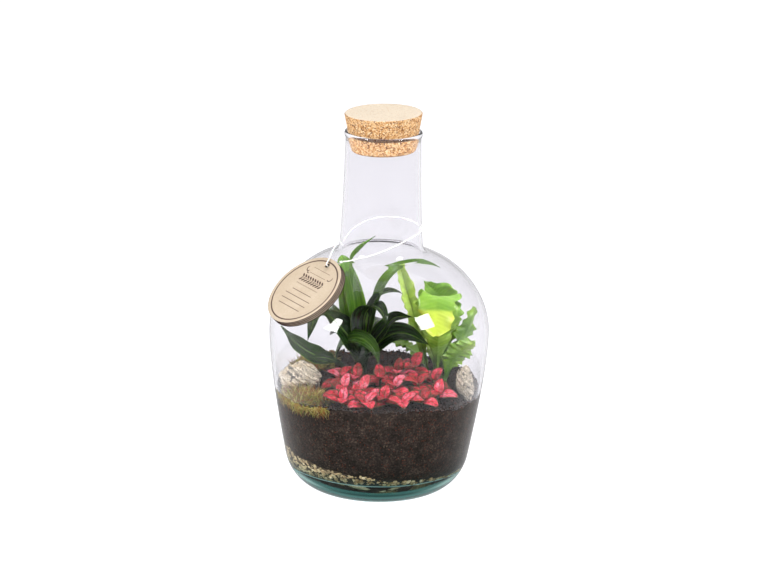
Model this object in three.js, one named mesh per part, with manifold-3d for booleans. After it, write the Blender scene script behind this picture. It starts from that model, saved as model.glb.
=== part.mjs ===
/*
 * A corked glass bottle planted as a small closed garden, with a card tag tied to its neck.
 *
 * Units are millimetres and +Z is up. The bottle's axis is the Z axis and its foot stands on z = 0.
 * The front, where the tag hangs, faces -Y, and azimuths run from +X towards +Y, in degrees.
 *
 * Outline curves are drawn as (radius, height) and spun round the axis. What fills the bottle is
 * cut to the glass with a small clearance. Leaves are thin closed blades, bent along a midrib.
 */
import * as THREE from 'three';
import { mergeVertices } from 'three/addons/utils/BufferGeometryUtils.js';
import Module from 'manifold-3d';

const wasm = await Module();
wasm.setup();

// ---------------------------------------------------------------- driving dimensions

const CLEARANCE = 0.35; // between pieces that touch on the real object
const SPIN_STEPS = 32; // sides of the glass, the soil and the gravel

const bottle = {
  footInner: 48, // the flat ring that the bottle stands on
  footOuter: 56,
  punt: 2.5, // how far the middle of the underside is raised
  heel: { radius: 92.5, height: 34 },
  belly: { radius: 110, height: 162 },
  shoulder: { radius: 48, height: 241.5 },
  neckFoot: { radius: 41.2, height: 252 },
  neckTop: { radius: 37.4, height: 360 },
  rim: { radius: 38.6, height: 366, mouth: 35.9 },
  wall: 2.6,
  floor: 22, // the thick glass at the bottom
  floorBlend: 54, // height at which the wall has thinned to its own thickness
};

const cork = { topRadius: 38.5, bottomRadius: 31.8, length: 38, proud: 18.5, chamfer: 1.2, tilt: 1.6 };

const soilLevel = 103; // mean height of the soil's surface
const gravelLevel = 36; // mean height of the top of the gravel

const tag = { radius: 41.6, thickness: 1.1, count: 4, holeRadius: 2.2, holeOffset: 33.4, fan: 1.3 };
const tagPlace = { azimuth: 217, slope: 39.4, centre: [-74.1, -60.4, 218.7] }; // middle of the front card
const holeBearing = [0.658, 0.409, 0.633]; // from the tag's middle towards its hole

const string = { radius: 0.7, sides: 8, steps: 66, slack: 0.5 };

// ---------------------------------------------------------------- small helpers

const radians = THREE.MathUtils.degToRad;
const lerp = THREE.MathUtils.lerp;
const smoothstep = THREE.MathUtils.smoothstep;

function direction(azimuth, elevation) {
  const flat = Math.cos(radians(elevation));
  return new THREE.Vector3(
    flat * Math.cos(radians(azimuth)),
    flat * Math.sin(radians(azimuth)),
    Math.sin(radians(elevation)),
  );
}

function solidFrom(geometry) {
  const bare = geometry.index ? geometry.clone() : geometry;
  bare.deleteAttribute('normal');
  bare.deleteAttribute('uv');
  const merged = mergeVertices(bare, 1e-4);
  const corners = Array.from(merged.index.array);
  const kept = [];
  for (let i = 0; i < corners.length; i += 3) {
    const [a, b, c] = corners.slice(i, i + 3);
    if (a !== b && b !== c && c !== a) kept.push(a, b, c);
  }
  return solidOf(merged.attributes.position.array, kept);
}

function solidOf(positions, corners) {
  return new wasm.Manifold(
    new wasm.Mesh({
      numProp: 3,
      vertProperties: new Float32Array(positions),
      triVerts: new Uint32Array(corners),
    }),
  );
}

function geometryFrom(solid) {
  const made = solid.getMesh();
  const geometry = new THREE.BufferGeometry();
  geometry.setAttribute('position', new THREE.BufferAttribute(made.vertProperties.slice(), 3));
  geometry.setIndex(new THREE.BufferAttribute(made.triVerts.slice(), 1));
  geometry.computeVertexNormals();
  return geometry;
}

function placed(geometry, position, rotation = [0, 0, 0]) {
  const turn = new THREE.Euler(...rotation.map(radians));
  geometry.applyMatrix4(
    new THREE.Matrix4().makeRotationFromEuler(turn).setPosition(...position),
  );
  return geometry;
}

// spins an outline of [radius, height] points, listed from the bottom round the outside to the top
function spun(outline, steps = SPIN_STEPS) {
  const points = outline.map(([radius, height]) => new THREE.Vector2(radius, height));
  return new THREE.LatheGeometry(points, steps).rotateX(Math.PI / 2);
}

// a ball of triangles whose corners are shared
function ballGeometry(radius, detail) {
  const ball = new THREE.IcosahedronGeometry(radius, detail);
  ball.deleteAttribute('normal');
  ball.deleteAttribute('uv');
  return mergeVertices(ball, 1e-4);
}

const SEAM_TOLERANCE = 0.05; // corners closer than this along a seam become one

// joins pieces that cross into one body, and fills the small pockets that are shut in between them
function fused(solids) {
  const skins = solids.reduce((whole, piece) => whole.add(piece)).decompose();
  const body = skins.reduce((largest, skin) => (skin.volume() > largest.volume() ? skin : largest));
  return body.asOriginal().simplify(SEAM_TOLERANCE);
}

const terrarium = new THREE.Group();

function addPiece(name, geometry, finish) {
  const mesh = new THREE.Mesh(geometry, new THREE.MeshStandardMaterial(finish));
  mesh.name = name;
  terrarium.add(mesh);
  return mesh;
}

const finishes = {
  glass: { color: 0xdfeeea, roughness: 0.05, metalness: 0, transparent: true, opacity: 0.3 },
  cork: { color: 0xc9a57b, roughness: 0.9, metalness: 0 },
  gravel: { color: 0xa08a68, roughness: 0.9, metalness: 0 },
  soil: { color: 0x3b2c26, roughness: 1, metalness: 0 },
  stone: { color: 0xcfc3a4, roughness: 0.85, metalness: 0 },
  moss: { color: 0x7d7c35, roughness: 1, metalness: 0 },
  dracaena: { color: 0x2c5a22, roughness: 0.35, metalness: 0 },
  fern: { color: 0x8cc234, roughness: 0.4, metalness: 0 },
  fittonia: { color: 0xd93a50, roughness: 0.5, metalness: 0 },
  card: { color: 0xe9d3b4, roughness: 0.8, metalness: 0 },
  string: { color: 0xf6f3ea, roughness: 0.8, metalness: 0 },
};

// ---------------------------------------------------------------- the bottle

// the outside of the glass from the foot ring up to the top of the neck
function outerCurve() {
  const { heel, belly, shoulder, neckFoot, neckTop } = bottle;
  const path = new THREE.Path();
  path.moveTo(bottle.footOuter, 0);
  path.bezierCurveTo(76, 0.5, heel.radius - 3.5, 16, heel.radius, heel.height);
  path.bezierCurveTo(98, 64, belly.radius, 125, belly.radius, belly.height);
  path.bezierCurveTo(belly.radius, 196, 84, 230, shoulder.radius, shoulder.height);
  path.quadraticCurveTo(42.4, 243.6, neckFoot.radius, neckFoot.height);
  path.quadraticCurveTo(38.4, 296, neckTop.radius, neckTop.height);
  return path;
}

// number of straight steps along each curve of the outside, from the heel to the neck
const CURVE_STEPS = [5, 2, 5, 2, 1];

function sampleOuter() {
  const points = [];
  outerCurve().curves.forEach((curve, section) => {
    const steps = CURVE_STEPS[section];
    for (let step = section ? 1 : 0; step <= steps; step++) {
      const point = curve.getPoint(step / steps);
      const along = curve.getTangent(step / steps);
      points.push({ radius: point.x, height: point.y, out: [along.y, -along.x] });
    }
  });
  return points;
}

function wallAt(height) {
  return lerp(bottle.floor, bottle.wall, smoothstep(height, 0, bottle.floorBlend));
}

// radius of an outline of [radius, height] points at a height
function radiusOf(outline, height) {
  const above = outline.findIndex(([, level]) => level >= height);
  const [lowRadius, low] = outline[above - 1];
  const [highRadius, high] = outline[above];
  return lerp(lowRadius, highRadius, (height - low) / (high - low));
}

const outside = sampleOuter();
const outerOutline = outside.map(({ radius, height }) => [radius, height]);
const inside = outside.map(({ radius, height, out }) => {
  const wall = wallAt(height);
  return [radius - wall * out[0], height - wall * out[1]];
});

function makeBottle() {
  const { rim, punt, footInner, floor } = bottle;
  const outline = [
    [0, punt],
    [footInner - 6, punt],
    [footInner, 0],
    ...outerOutline,
    [rim.radius, rim.height - 4.4],
    [rim.radius, rim.height - 1.4],
    [rim.radius - 1.2, rim.height],
    [rim.mouth, rim.height],
    [rim.mouth - 0.6, rim.height - 2],
    ...[...inside].reverse(),
    [0, floor],
  ];
  return geometryFrom(solidFrom(spun(outline)));
}

addPiece('glass_bottle', makeBottle(), finishes.glass);

// ---------------------------------------------------------------- the cork

function makeCork() {
  const { topRadius, bottomRadius, length, chamfer, proud, tilt } = cork;
  const outline = [
    [0, 0],
    [bottomRadius - chamfer, 0],
    [bottomRadius, chamfer],
    [lerp(bottomRadius, topRadius, 0.5), length / 2],
    [topRadius, length - chamfer],
    [topRadius - chamfer, length],
    [0, length],
  ];
  const geometry = placed(spun(outline, 32), [0, 0, proud - length]);
  return geometryFrom(solidFrom(placed(geometry, [0, 0, bottle.rim.height], [0, -tilt, 0])));
}

addPiece('cork_stopper', makeCork(), finishes.cork);

// ---------------------------------------------------------------- gravel and soil

// how high the gravel reaches, more on the left than on the right
function gravelTop(x, y) {
  return gravelLevel - 0.11 * x + 0.03 * y + 1.6 * Math.sin(x * 0.13) * Math.cos(y * 0.17);
}

// the soil's surface: crumbly, nearly level, and heaped a little along the front glass
function soilTop(x, y) {
  const rise = 0.03 * y + 3 * Math.exp(-((x + 62) ** 2 + (y - 66) ** 2) / 900) + 7 * smoothstep(-y, 62, 100);
  const crumbs = 0.9 * Math.sin(x * 0.29 + 1) * Math.sin(y * 0.33) + 0.5 * Math.cos(x * 0.71 - y * 0.53);
  return soilLevel + rise + crumbs;
}

/*
 * A round body given as rings from the bottom to the top. Each ring is a function that gives the
 * radius and height at an azimuth, so it can be wavy. The ends close in points on the axis. The
 * facets between two rings are split from the wider ring to the narrower one.
 */
function ringedSolid(rings, bottom, top) {
  const turns = Array.from({ length: SPIN_STEPS }, (_, step) => (2 * Math.PI * step) / SPIN_STEPS);
  const places = rings.map((ring) => turns.map((turn) => ring(turn)));
  const positions = [0, 0, bottom];
  for (const ring of places) {
    ring.forEach(([radius, height], step) => {
      positions.push(radius * Math.cos(turns[step]), radius * Math.sin(turns[step]), height);
    });
  }
  positions.push(0, 0, top);
  const tip = 1 + rings.length * SPIN_STEPS;
  const corners = [];
  for (let step = 0; step < SPIN_STEPS; step++) {
    const turned = (step + 1) % SPIN_STEPS;
    corners.push(0, 1 + turned, 1 + step);
    for (let ring = 0; ring < rings.length - 1; ring++) {
      const low = 1 + ring * SPIN_STEPS;
      const [a, b, c, d] = [low + step, low + turned, low + SPIN_STEPS + turned, low + SPIN_STEPS + step];
      if (places[ring][step][0] >= places[ring + 1][step][0]) corners.push(a, b, c, a, c, d);
      else corners.push(a, b, d, b, c, d);
    }
    corners.push(tip - SPIN_STEPS + step, tip - SPIN_STEPS + turned, tip);
  }
  return solidOf(positions, corners);
}

// radius and height on a filling's surface, at a share of the way from the axis to the glass
function surfacePoint(share, azimuth, heightAt, lift = 0) {
  const room = radiusOf(inside, heightAt(0, 0)) - CLEARANCE;
  const height = heightAt(share * room * Math.cos(azimuth), share * room * Math.sin(azimuth)) + lift;
  return [share * (radiusOf(inside, height) - CLEARANCE), height];
}

const SURFACE_SHARES = [0.2, 0.43, 0.64, 0.84, 1];
const SURFACE_SHARES_INWARDS = [...SURFACE_SHARES].reverse();

function makeGravel() {
  const bowl = inside.filter(([, height]) => height < bottle.floor + 6);
  const [bowlRadius, bowlTop] = bowl[bowl.length - 1];
  const sideRing = (level) => (azimuth) => {
    const [radius, height] = surfacePoint(1, azimuth, gravelTop);
    const pebble = 1.3 + 1.3 * Math.sin(azimuth * 67 + level * 41);
    return [lerp(bowlRadius, radius, level) - CLEARANCE - pebble, lerp(bowlTop, height, level)];
  };
  const rings = [
    ...bowl.map(([radius, height]) => () => [radius - CLEARANCE, height + CLEARANCE]),
    sideRing(0.4),
    sideRing(0.7),
    ...SURFACE_SHARES_INWARDS.map((share) => (azimuth) => surfacePoint(share, azimuth, gravelTop)),
  ];
  return ringedSolid(rings, bottle.floor + CLEARANCE, gravelTop(0, 0));
}

function makeSoil() {
  const underside = (share, azimuth) => surfacePoint(share, azimuth, gravelTop, CLEARANCE);
  const sideRing = (level) => (azimuth) => {
    const height = lerp(underside(1, azimuth)[1], surfacePoint(1, azimuth, soilTop)[1], level);
    return [radiusOf(inside, height) - CLEARANCE, height];
  };
  const rings = [
    ...SURFACE_SHARES.map((share) => (azimuth) => underside(share, azimuth)),
    sideRing(0.35),
    sideRing(0.7),
    ...SURFACE_SHARES_INWARDS.map((share) => (azimuth) => surfacePoint(share, azimuth, soilTop)),
  ];
  return ringedSolid(rings, gravelTop(0, 0) + CLEARANCE, soilTop(0, 0));
}

addPiece('drainage_gravel', geometryFrom(makeGravel()), finishes.gravel);

const HOLE_RISE = 6; // how far the cutting shape of a hole stands above the soil

// everything that stands in the soil adds the shape of its hole or bed here
const beds = [];

// a plain upright hole in the soil, a little wider than the stem that stands in it
function plainHole([x, y], radius, depth, sides) {
  const top = soilTop(x, y);
  const width = radius + CLEARANCE;
  beds.push(stemSolid([[x, y, top - depth], [x, y, top + HOLE_RISE]], [width, width], sides));
}

// the room inside the glass, from the middle of the soil up to the shoulder
const room = ringedSolid(
  inside
    .filter(([, height]) => height > 50 && height < 230)
    .map(([radius, height]) => () => [radius - CLEARANCE, height]),
  50,
  230,
);

// ---------------------------------------------------------------- stones and moss

/*
 * A layered stone: a ball squeezed to its size, roughened, with ledges where the layers end.
 * The same shape a little larger is its bed in the soil.
 */
function stoneShape({ size, layers, roughness, turn, centre }, swell = 0) {
  const ball = ballGeometry(1, 2);
  const spot = ball.attributes.position;
  for (let i = 0; i < spot.count; i++) {
    const ray = new THREE.Vector3().fromBufferAttribute(spot, i).normalize();
    const lump =
      Math.sin(ray.x * 4.1 + ray.y * 2.3) * 0.5 + Math.sin(ray.y * 5.3 - ray.z * 3.1 + 1) * 0.35;
    const band = ray.x * 0.55 + ray.z * 0.83;
    const ledge = Math.sin(band * layers) * 0.5 + Math.sin(band * layers * 2.3 + 2) * 0.25;
    ray.multiplyScalar(1 + roughness * (lump + ledge));
    spot.setXYZ(i, ...size.map((half, axis) => ray.getComponent(axis) * (half + swell)));
  }
  return placed(ball, centre, turn);
}

const BED_SWELL = 0.5; // how much larger a stone's bed is on every side

const stones = {
  layered_stone_left: {
    size: [20.5, 14, 16.5], layers: 11, roughness: 0.09, turn: [4, 8, 14], centre: [-77, -18, 114.5],
  },
  layered_stone_right: {
    size: [8.6, 7, 19], layers: 8, roughness: 0.12, turn: [8, -7, -24], centre: [86, -37, 119],
  },
};

for (const [name, stone] of Object.entries(stones)) {
  addPiece(name, geometryFrom(solidFrom(stoneShape(stone))), finishes.stone);
}

const stoneBeds = Object.values(stones).map((stone) => solidFrom(stoneShape(stone, BED_SWELL)));
beds.push(...stoneBeds);

/*
 * A patch of stringy moss: a thin cushion with short curled strands standing out of it.
 * Each strand is a three-sided spike whose root lies in the cushion.
 */
function mossShape({ centre, size, turn, strands, seed }) {
  const random = seededRandom(seed);
  const cushion = ballGeometry(1, 2);
  const spot = cushion.attributes.position;
  for (let i = 0; i < spot.count; i++) {
    const [x, y, z] = [spot.getX(i), spot.getY(i), spot.getZ(i)];
    const tuft = 1 + 0.16 * Math.sin(x * 9 + 2 * y) * Math.cos(y * 8 - x);
    spot.setXYZ(i, x * size[0] * tuft, y * size[1] * tuft, z * size[2] * tuft);
  }
  const pieces = [solidFrom(cushion)];
  for (let i = 0; i < strands; i++) {
    const bearing = random() * 360;
    const reach = Math.sqrt(random()) * 0.82;
    const root = [
      size[0] * reach * Math.cos(radians(bearing)),
      size[1] * reach * Math.sin(radians(bearing)),
      size[2] * (Math.sqrt(1 - reach * reach) - 0.5),
    ];
    const length = lerp(6, 11, random());
    const strand = new THREE.ConeGeometry(1.1, length, 3).translate(0, length / 2, 0);
    strand.rotateX(Math.PI / 2);
    const lean = [lerp(-60, 60, random()), lerp(-60, 60, random()), bearing];
    pieces.push(solidFrom(placed(strand, root, lean)));
  }
  const patch = solidFrom(placed(geometryFrom(fused(pieces)), centre, turn));
  return geometryFrom(fused([stoneBeds.reduce((moss, bed) => moss.subtract(bed), patch.intersect(room))]));
}

function seededRandom(seed) {
  let state = seed;
  return () => {
    state = (state * 16807) % 2147483647;
    return state / 2147483647;
  };
}

const mosses = {
  moss_front: { centre: [-71, -50, 103.5], size: [27, 18, 3.8], turn: [0, 0, -38], strands: 22, seed: 41 },
  moss_back: { centre: [-66, 48, 106.5], size: [28, 18, 3.6], turn: [0, 0, 38], strands: 18, seed: 87 },
};

for (const [name, moss] of Object.entries(mosses)) {
  const geometry = mossShape(moss);
  addPiece(name, geometry, finishes.moss);
  const bed = new THREE.SphereGeometry(1, 12, 6);
  bed.scale(moss.size[0] * 1.2, moss.size[1] * 1.2, moss.size[2] * 1.2);
  beds.push(solidFrom(placed(bed, moss.centre, moss.turn)));
}

// ---------------------------------------------------------------- leaf blades

/*
 * Walks along a leaf's midrib. The leaf sets out at an azimuth and at an elevation called rise. In
 * the zone of its length called bend its elevation drops by droop and it turns aside by sweep.
 * twist rolls the blade about its own midrib.
 */
function midrib(leaf, rows) {
  const { azimuth, rise, droop = 0, sweep = 0, twist = 0, bend = [0, 1], length } = leaf;
  const heading = (share) => {
    const bent = smoothstep(share, bend[0], bend[1]);
    return [azimuth + sweep * bent, rise - droop * bent];
  };
  const place = new THREE.Vector3(...leaf.root);
  const frames = [];
  for (let row = 0; row <= rows; row++) {
    const [bearing, elevation] = heading(row / rows);
    const along = direction(bearing, elevation);
    const up = direction(bearing, elevation + 90).applyAxisAngle(along, radians(twist));
    const side = new THREE.Vector3().crossVectors(along, up);
    frames.push({ place: place.clone(), up, side, share: row / rows });
    for (const part of [0.25, 0.75]) {
      place.addScaledVector(direction(...heading((row + part) / rows)), length / rows / 2);
    }
  }
  return frames;
}

/*
 * A thin closed blade round a midrib. halfWidth(share, edge) is its outline, with edge -1 or 1,
 * lift(share, across) bends it out of its plane, and both faces are split alike.
 */
function bladeSolid(frames, columns, halfWidth, lift, thickness) {
  const positions = [];
  const corners = [];
  const width = columns + 1;
  for (const face of [0, 1]) {
    for (const { place, up, side, share } of frames) {
      for (let column = 0; column <= columns; column++) {
        const across = (2 * column) / columns - 1;
        const spot = place
          .clone()
          .addScaledVector(side, across * halfWidth(share, Math.sign(across)))
          .addScaledVector(up, lift(share, across) - face * thickness);
        positions.push(spot.x, spot.y, spot.z);
      }
    }
  }
  const rows = frames.length - 1;
  const lower = width * frames.length;
  const quad = (a, b, c, d) => corners.push(a, b, c, a, c, d);
  for (let row = 0; row < rows; row++) {
    const here = row * width;
    const next = here + width;
    for (let column = 0; column < columns; column++) {
      const [a, b, c, d] = [here + column, here + column + 1, next + column + 1, next + column];
      quad(a, b, c, d);
      corners.push(lower + a, lower + c, lower + b, lower + a, lower + d, lower + c);
    }
    quad(here, next, lower + next, lower + here);
    quad(here + columns, lower + here + columns, lower + next + columns, next + columns);
  }
  const last = rows * width;
  for (let column = 0; column < columns; column++) {
    quad(column + 1, column, lower + column, lower + column + 1);
    quad(last + column, last + column + 1, lower + last + column + 1, lower + last + column);
  }
  return solidOf(positions, corners);
}

// a tapered round stem through a few points
function stemSolid(points, radii, sides = 6) {
  const positions = [];
  const corners = [];
  points.forEach((point, row) => {
    for (let side = 0; side < sides; side++) {
      const turn = (2 * Math.PI * side) / sides;
      positions.push(
        point[0] + radii[row] * Math.cos(turn),
        point[1] + radii[row] * Math.sin(turn),
        point[2],
      );
    }
  });
  for (let row = 0; row < points.length - 1; row++) {
    for (let side = 0; side < sides; side++) {
      const a = row * sides + side;
      const b = row * sides + ((side + 1) % sides);
      corners.push(a, b, b + sides, a, b + sides, a + sides);
    }
  }
  const top = (points.length - 1) * sides;
  for (let side = 1; side < sides - 1; side++) {
    corners.push(0, side + 1, side, top, top + side, top + side + 1);
  }
  return solidOf(positions, corners);
}

// ---------------------------------------------------------------- the dark green plant

const dracaenaStem = { base: [-17, 8], crown: [-16, 6, 142], radius: 4.2, depth: 16 };

// a short side shoot that leaves the stem near the soil and leans to the left
const sideShoot = { foot: [-17, 8, 107], end: [-43, 3, 126], radius: 3 };

/*
 * A leaf leaves the stem at a height above the soil's surface, or else the end of the side shoot.
 * Lengths and widths are in millimetres, rise, droop and sweep in degrees.
 */
const dracaenaLeaves = [
  // the tall pair that reaches up to the neck
  {
    height: 30, azimuth: 158, rise: 79, droop: 8, bend: [0.5, 1], length: 103, width: 28, twist: -65, full: 0.45,
  },
  {
    height: 32, azimuth: 178, rise: 82, droop: 43, sweep: -178, bend: [0.37, 0.95], length: 132,
    width: 17, twist: -60,
  },
  // arching to the right
  { height: 36, azimuth: -4, rise: 78, droop: 116, bend: [0.33, 1.17], length: 137, width: 14, twist: 36 },
  { height: 36, azimuth: -8, rise: 83, droop: 128, bend: [0.41, 1.17], length: 86, width: 15, twist: 30 },
  { height: 31, azimuth: -8, rise: 55, droop: 54, bend: [0.6, 0.85], length: 68, width: 20, twist: 40 },
  { height: 27, azimuth: -14, rise: 47, droop: 74, bend: [0.26, 0.9], length: 79, width: 26, twist: 44 },
  // the broad dark leaf in the middle, whose tip hangs over
  { height: 32, azimuth: -49, rise: 94, droop: 215, bend: [0.24, 1.25], length: 89, width: 28 },
  // to the left
  { height: 34, azimuth: 188, rise: 51, droop: 126, bend: [0.5, 0.74], length: 98, width: 22, twist: -40 },
  { height: 28, azimuth: 205, rise: 60, droop: 18, length: 71, width: 31, twist: -58 },
  { azimuth: 186, rise: 14, droop: -40, length: 69, width: 19, twist: -52, wave: 1.4 },
  { azimuth: 200, rise: 26, droop: 24, length: 27, width: 13, twist: -44 },
  // the twisted leaf in front
  { azimuth: -29, rise: 84, droop: 188, bend: [-0.09, 1.25], length: 80, width: 20, twist: 30 },
  // behind, seen from the other side
  { height: 23, azimuth: 72, rise: 60, droop: 84, length: 84, width: 25 },
  { height: 17, azimuth: 118, rise: 52, droop: 84, length: 82, width: 23 },
];

const DRACAENA_THICKNESS = 0.8;
const DRACAENA_ROWS = 6;

// a long pointed outline, widest a little below the middle and narrow where it clasps the stem;
// the smaller full is, the blunter its tip
function lanceolate(share, { width, full = 0.9 }) {
  const swell = Math.sin(Math.PI * share ** 0.72) ** full;
  return Math.max(0.35, (width / 2) * Math.max(swell, 0.2 * (1 - share)));
}

// a point of the stem at a height above the soil, or the end of the side shoot
function leafRoot({ height, azimuth }) {
  if (height === undefined) return new THREE.Vector3(...sideShoot.end);
  const { base, crown, radius } = dracaenaStem;
  const foot = new THREE.Vector3(...base, soilLevel);
  const onAxis = foot.lerp(new THREE.Vector3(...crown), height / (crown[2] - soilLevel));
  return onAxis.addScaledVector(direction(azimuth, 0), radius / 2);
}

function dracaenaLeaf(leaf, index) {
  const frames = midrib({ ...leaf, root: leafRoot(leaf) }, DRACAENA_ROWS);
  const halfWidth = (share) => lanceolate(share, leaf);
  const lift = (share, across) => {
    const wave = (leaf.wave ?? 0.5) * across * Math.sin(share * 17 + index);
    return 0.3 * Math.abs(across) * halfWidth(share) + wave;
  };
  return bladeSolid(frames, 2, halfWidth, lift, DRACAENA_THICKNESS);
}

function makeDracaena() {
  const { base, crown, radius, depth } = dracaenaStem;
  const top = soilTop(...base);
  plainHole(base, radius, depth, 8);
  const stem = stemSolid(
    [[...base, top - depth + CLEARANCE], [...base, top + 8], [...crown.slice(0, 2), crown[2] - 14], crown],
    [radius, radius, radius * 1.5, radius * 1.2],
    8,
  );
  const shoot = stemSolid([sideShoot.foot, sideShoot.end], [sideShoot.radius, sideShoot.radius * 0.8], 6);
  return geometryFrom(fused([stem, shoot, ...dracaenaLeaves.map(dracaenaLeaf)]));
}

addPiece('dracaena', makeDracaena(), finishes.dracaena);

// ---------------------------------------------------------------- the light green fern

const fernCrown = { centre: [60, 12], ring: 8, stalk: 1.9, depth: 13 };

// each frond has its own seat round the crown, and its margin is waved and notched
const fernFronds = [
  // the narrow folded frond and the big one beside it
  { seat: 180, azimuth: 170, rise: 76, droop: 4, length: 125, width: 15, twist: -70, fold: 0.8, tip: 0.5 },
  { seat: 62, azimuth: 32, rise: 91, droop: -46, bend: [0.63, 0.85], length: 114, width: 38, twist: 66 },
  // the frond that arches over to the front
  { seat: -94, azimuth: -94, rise: 80, droop: 157, bend: [0.62, 0.8], length: 147, width: 39, tip: 0.6 },
  // to the right, against the glass
  { seat: 10, azimuth: 14, rise: 68, length: 82, width: 24, twist: -60 },
  { seat: -42, azimuth: -18, rise: 75, droop: 42, length: 57, width: 27, twist: -50 },
  // behind
  { seat: 114, azimuth: 80, rise: 72, droop: 84, length: 76, width: 30 },
  { seat: 148, azimuth: 160, rise: 72, droop: 70, length: 60, width: 24 },
];

const FERN_THICKNESS = 0.8;
const FERN_ROWS = 9;

function strapWidth(share, { width, tip = 0.12 }, edge) {
  const blade = smoothstep(share, 0.12, 0.5) * (1 - (1 - tip) * smoothstep(share, 0.72, 1));
  const notch = 0.13 * Math.sin(share * 31 + edge * 1.3);
  return lerp(1.6, width / 2, blade) * (1 + notch * blade);
}

function makeFrond(frond, index) {
  const { centre, ring, stalk, depth } = fernCrown;
  const seat = direction(frond.seat, 0).multiplyScalar(ring);
  const base = [centre[0] + seat.x, centre[1] + seat.y];
  const top = soilTop(...base);
  plainHole(base, stalk, depth, 6);
  const stem = stemSolid([[...base, top - depth + CLEARANCE], [...base, top + 4]], [stalk, stalk * 0.8], 6);
  const frames = midrib({ ...frond, root: [...base, top + 2] }, FERN_ROWS);
  const lift = (share, across) => {
    const ripple = 2.2 + 2.4 * Math.sin(share * 23 + across * 2 + index);
    const trough = (frond.fold ?? 0) * Math.abs(across) * strapWidth(share, frond, 0);
    return across ** 2 * smoothstep(share, 0.15, 0.5) * ripple + trough;
  };
  const halfWidth = (share, edge) => strapWidth(share, frond, edge);
  return geometryFrom(fused([stem, bladeSolid(frames, 4, halfWidth, lift, FERN_THICKNESS)]));
}

fernFronds.forEach((frond, index) => {
  addPiece(`fern_frond_${index + 1}`, makeFrond(frond, index), finishes.fern);
});

// ---------------------------------------------------------------- the red creeping plant

/*
 * Where each leafy stem stands, how tall it is and how its leaf pairs are turned. The plant creeps:
 * a runner over the soil joins every stem to the one before it.
 */
const fittoniaStems = [
  { base: [-38, -18], height: 14, turn: 10 },
  { base: [-33, -42], height: 11, turn: 50 },
  { base: [-34, -70], height: 8, turn: 70 },
  { base: [-12, -77], height: 6, turn: 20 },
  { base: [-15, -50], height: 14, turn: 40 },
  { base: [-21, -25], height: 17, turn: 70 },
  { base: [2, -34], height: 18, turn: 100 },
  { base: [6, -64], height: 9, turn: 60 },
  { base: [24, -76], height: 6, turn: 10 },
  { base: [17, -46], height: 15, turn: 25 },
  { base: [20, -22], height: 22, turn: 80 },
  { base: [36, -13], height: 26, turn: 45 },
  { base: [40, -40], height: 17, turn: 15 },
  { base: [45, -69], height: 9, turn: 50 },
  { base: [60, -50], height: 10, turn: 75 },
  { base: [55, -28], height: 17, turn: 30 },
];

const fittonia = {
  stalk: 1.1,
  depth: 8,
  leafLength: 22.5,
  leafWidth: 14.5,
  rows: 2,
  thickness: 0.7,
  cup: 0.12,
  lean: 24, // how far each whorl is tipped towards the light in front
  runner: 3, // height of the runners over the soil
};

// leaf pairs from the lowest to the top, each a quarter turn from the last and on every so many stems
const leafPairs = [
  { share: 0.5, rise: 12, droop: 42, size: 1, every: 3 },
  { share: 0.8, rise: 26, droop: 56, size: 1, every: 1 },
  { share: 0.98, rise: 54, droop: 48, size: 0.78, every: 1 },
];

function ovate(share) {
  const blade = Math.sin(Math.PI * Math.min(1, 0.06 + 0.94 * share) ** 0.78);
  return Math.max(0.35, (fittonia.leafWidth / 2) * blade ** 0.9);
}

function fittoniaLeaf(root, azimuth, pair, random) {
  const size = pair.size * lerp(0.88, 1.1, random());
  const length = fittonia.leafLength * size;
  // a low leaf is held up so that its tip stays clear of the soil
  const reach = direction(azimuth, 0).multiplyScalar(length * 0.85);
  const ground = Math.max(soilTop(root[0], root[1]), soilTop(root[0] + reach.x, root[1] + reach.y));
  const fall = Math.min(1, (root[2] - ground - 3) / length);
  const lowest = pair.droop / 2 - THREE.MathUtils.radToDeg(Math.asin(fall));
  const tipped = pair.rise + lerp(-8, 8, random()) + fittonia.lean * Math.sin(radians(azimuth));
  const rise = Math.max(tipped, lowest);
  const twist = fittonia.lean * Math.cos(radians(azimuth)) + lerp(-10, 10, random());
  const frames = midrib({ root, azimuth, rise, droop: pair.droop, twist, length }, fittonia.rows);
  const outline = (share) => size * ovate(share);
  const cup = (share, across) => fittonia.cup * Math.abs(across) * outline(share);
  return bladeSolid(frames, 2, outline, cup, fittonia.thickness);
}

function makeFittonia() {
  const random = seededRandom(11);
  const { stalk, depth, runner } = fittonia;
  const pieces = [];
  fittoniaStems.forEach(({ base, height, turn }, index) => {
    const ground = soilTop(...base);
    plainHole(base, stalk, depth, 4);
    const foot = [...base, ground - depth + CLEARANCE];
    pieces.push(stemSolid([foot, [...base, ground + height]], [stalk, stalk * 0.8], 4));
    if (index) {
      const last = fittoniaStems[index - 1].base;
      pieces.push(runnerSolid([...last, soilTop(...last) + runner], [...base, ground + runner], stalk * 0.8));
    }
    leafPairs.forEach((pair, level) => {
      if (index % pair.every) return;
      for (const half of [0, 180]) {
        const azimuth = turn + 90 * level + half + lerp(-16, 16, random());
        pieces.push(fittoniaLeaf([...base, ground + height * pair.share], azimuth, pair, random));
      }
    });
  });
  return geometryFrom(fused(pieces));
}

// a square runner that lies between two points
function runnerSolid(from, to, radius) {
  const start = new THREE.Vector3(...from);
  const span = new THREE.Vector3(...to).sub(start);
  const rod = new THREE.CylinderGeometry(radius, radius, span.length(), 4);
  const aim = new THREE.Quaternion().setFromUnitVectors(new THREE.Vector3(0, 1, 0), span.clone().normalize());
  rod.applyQuaternion(aim).translate(...start.addScaledVector(span, 0.5).toArray());
  return solidFrom(rod);
}

addPiece('fittonia', makeFittonia(), finishes.fittonia);

// ---------------------------------------------------------------- the soil, with its holes and beds

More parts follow.
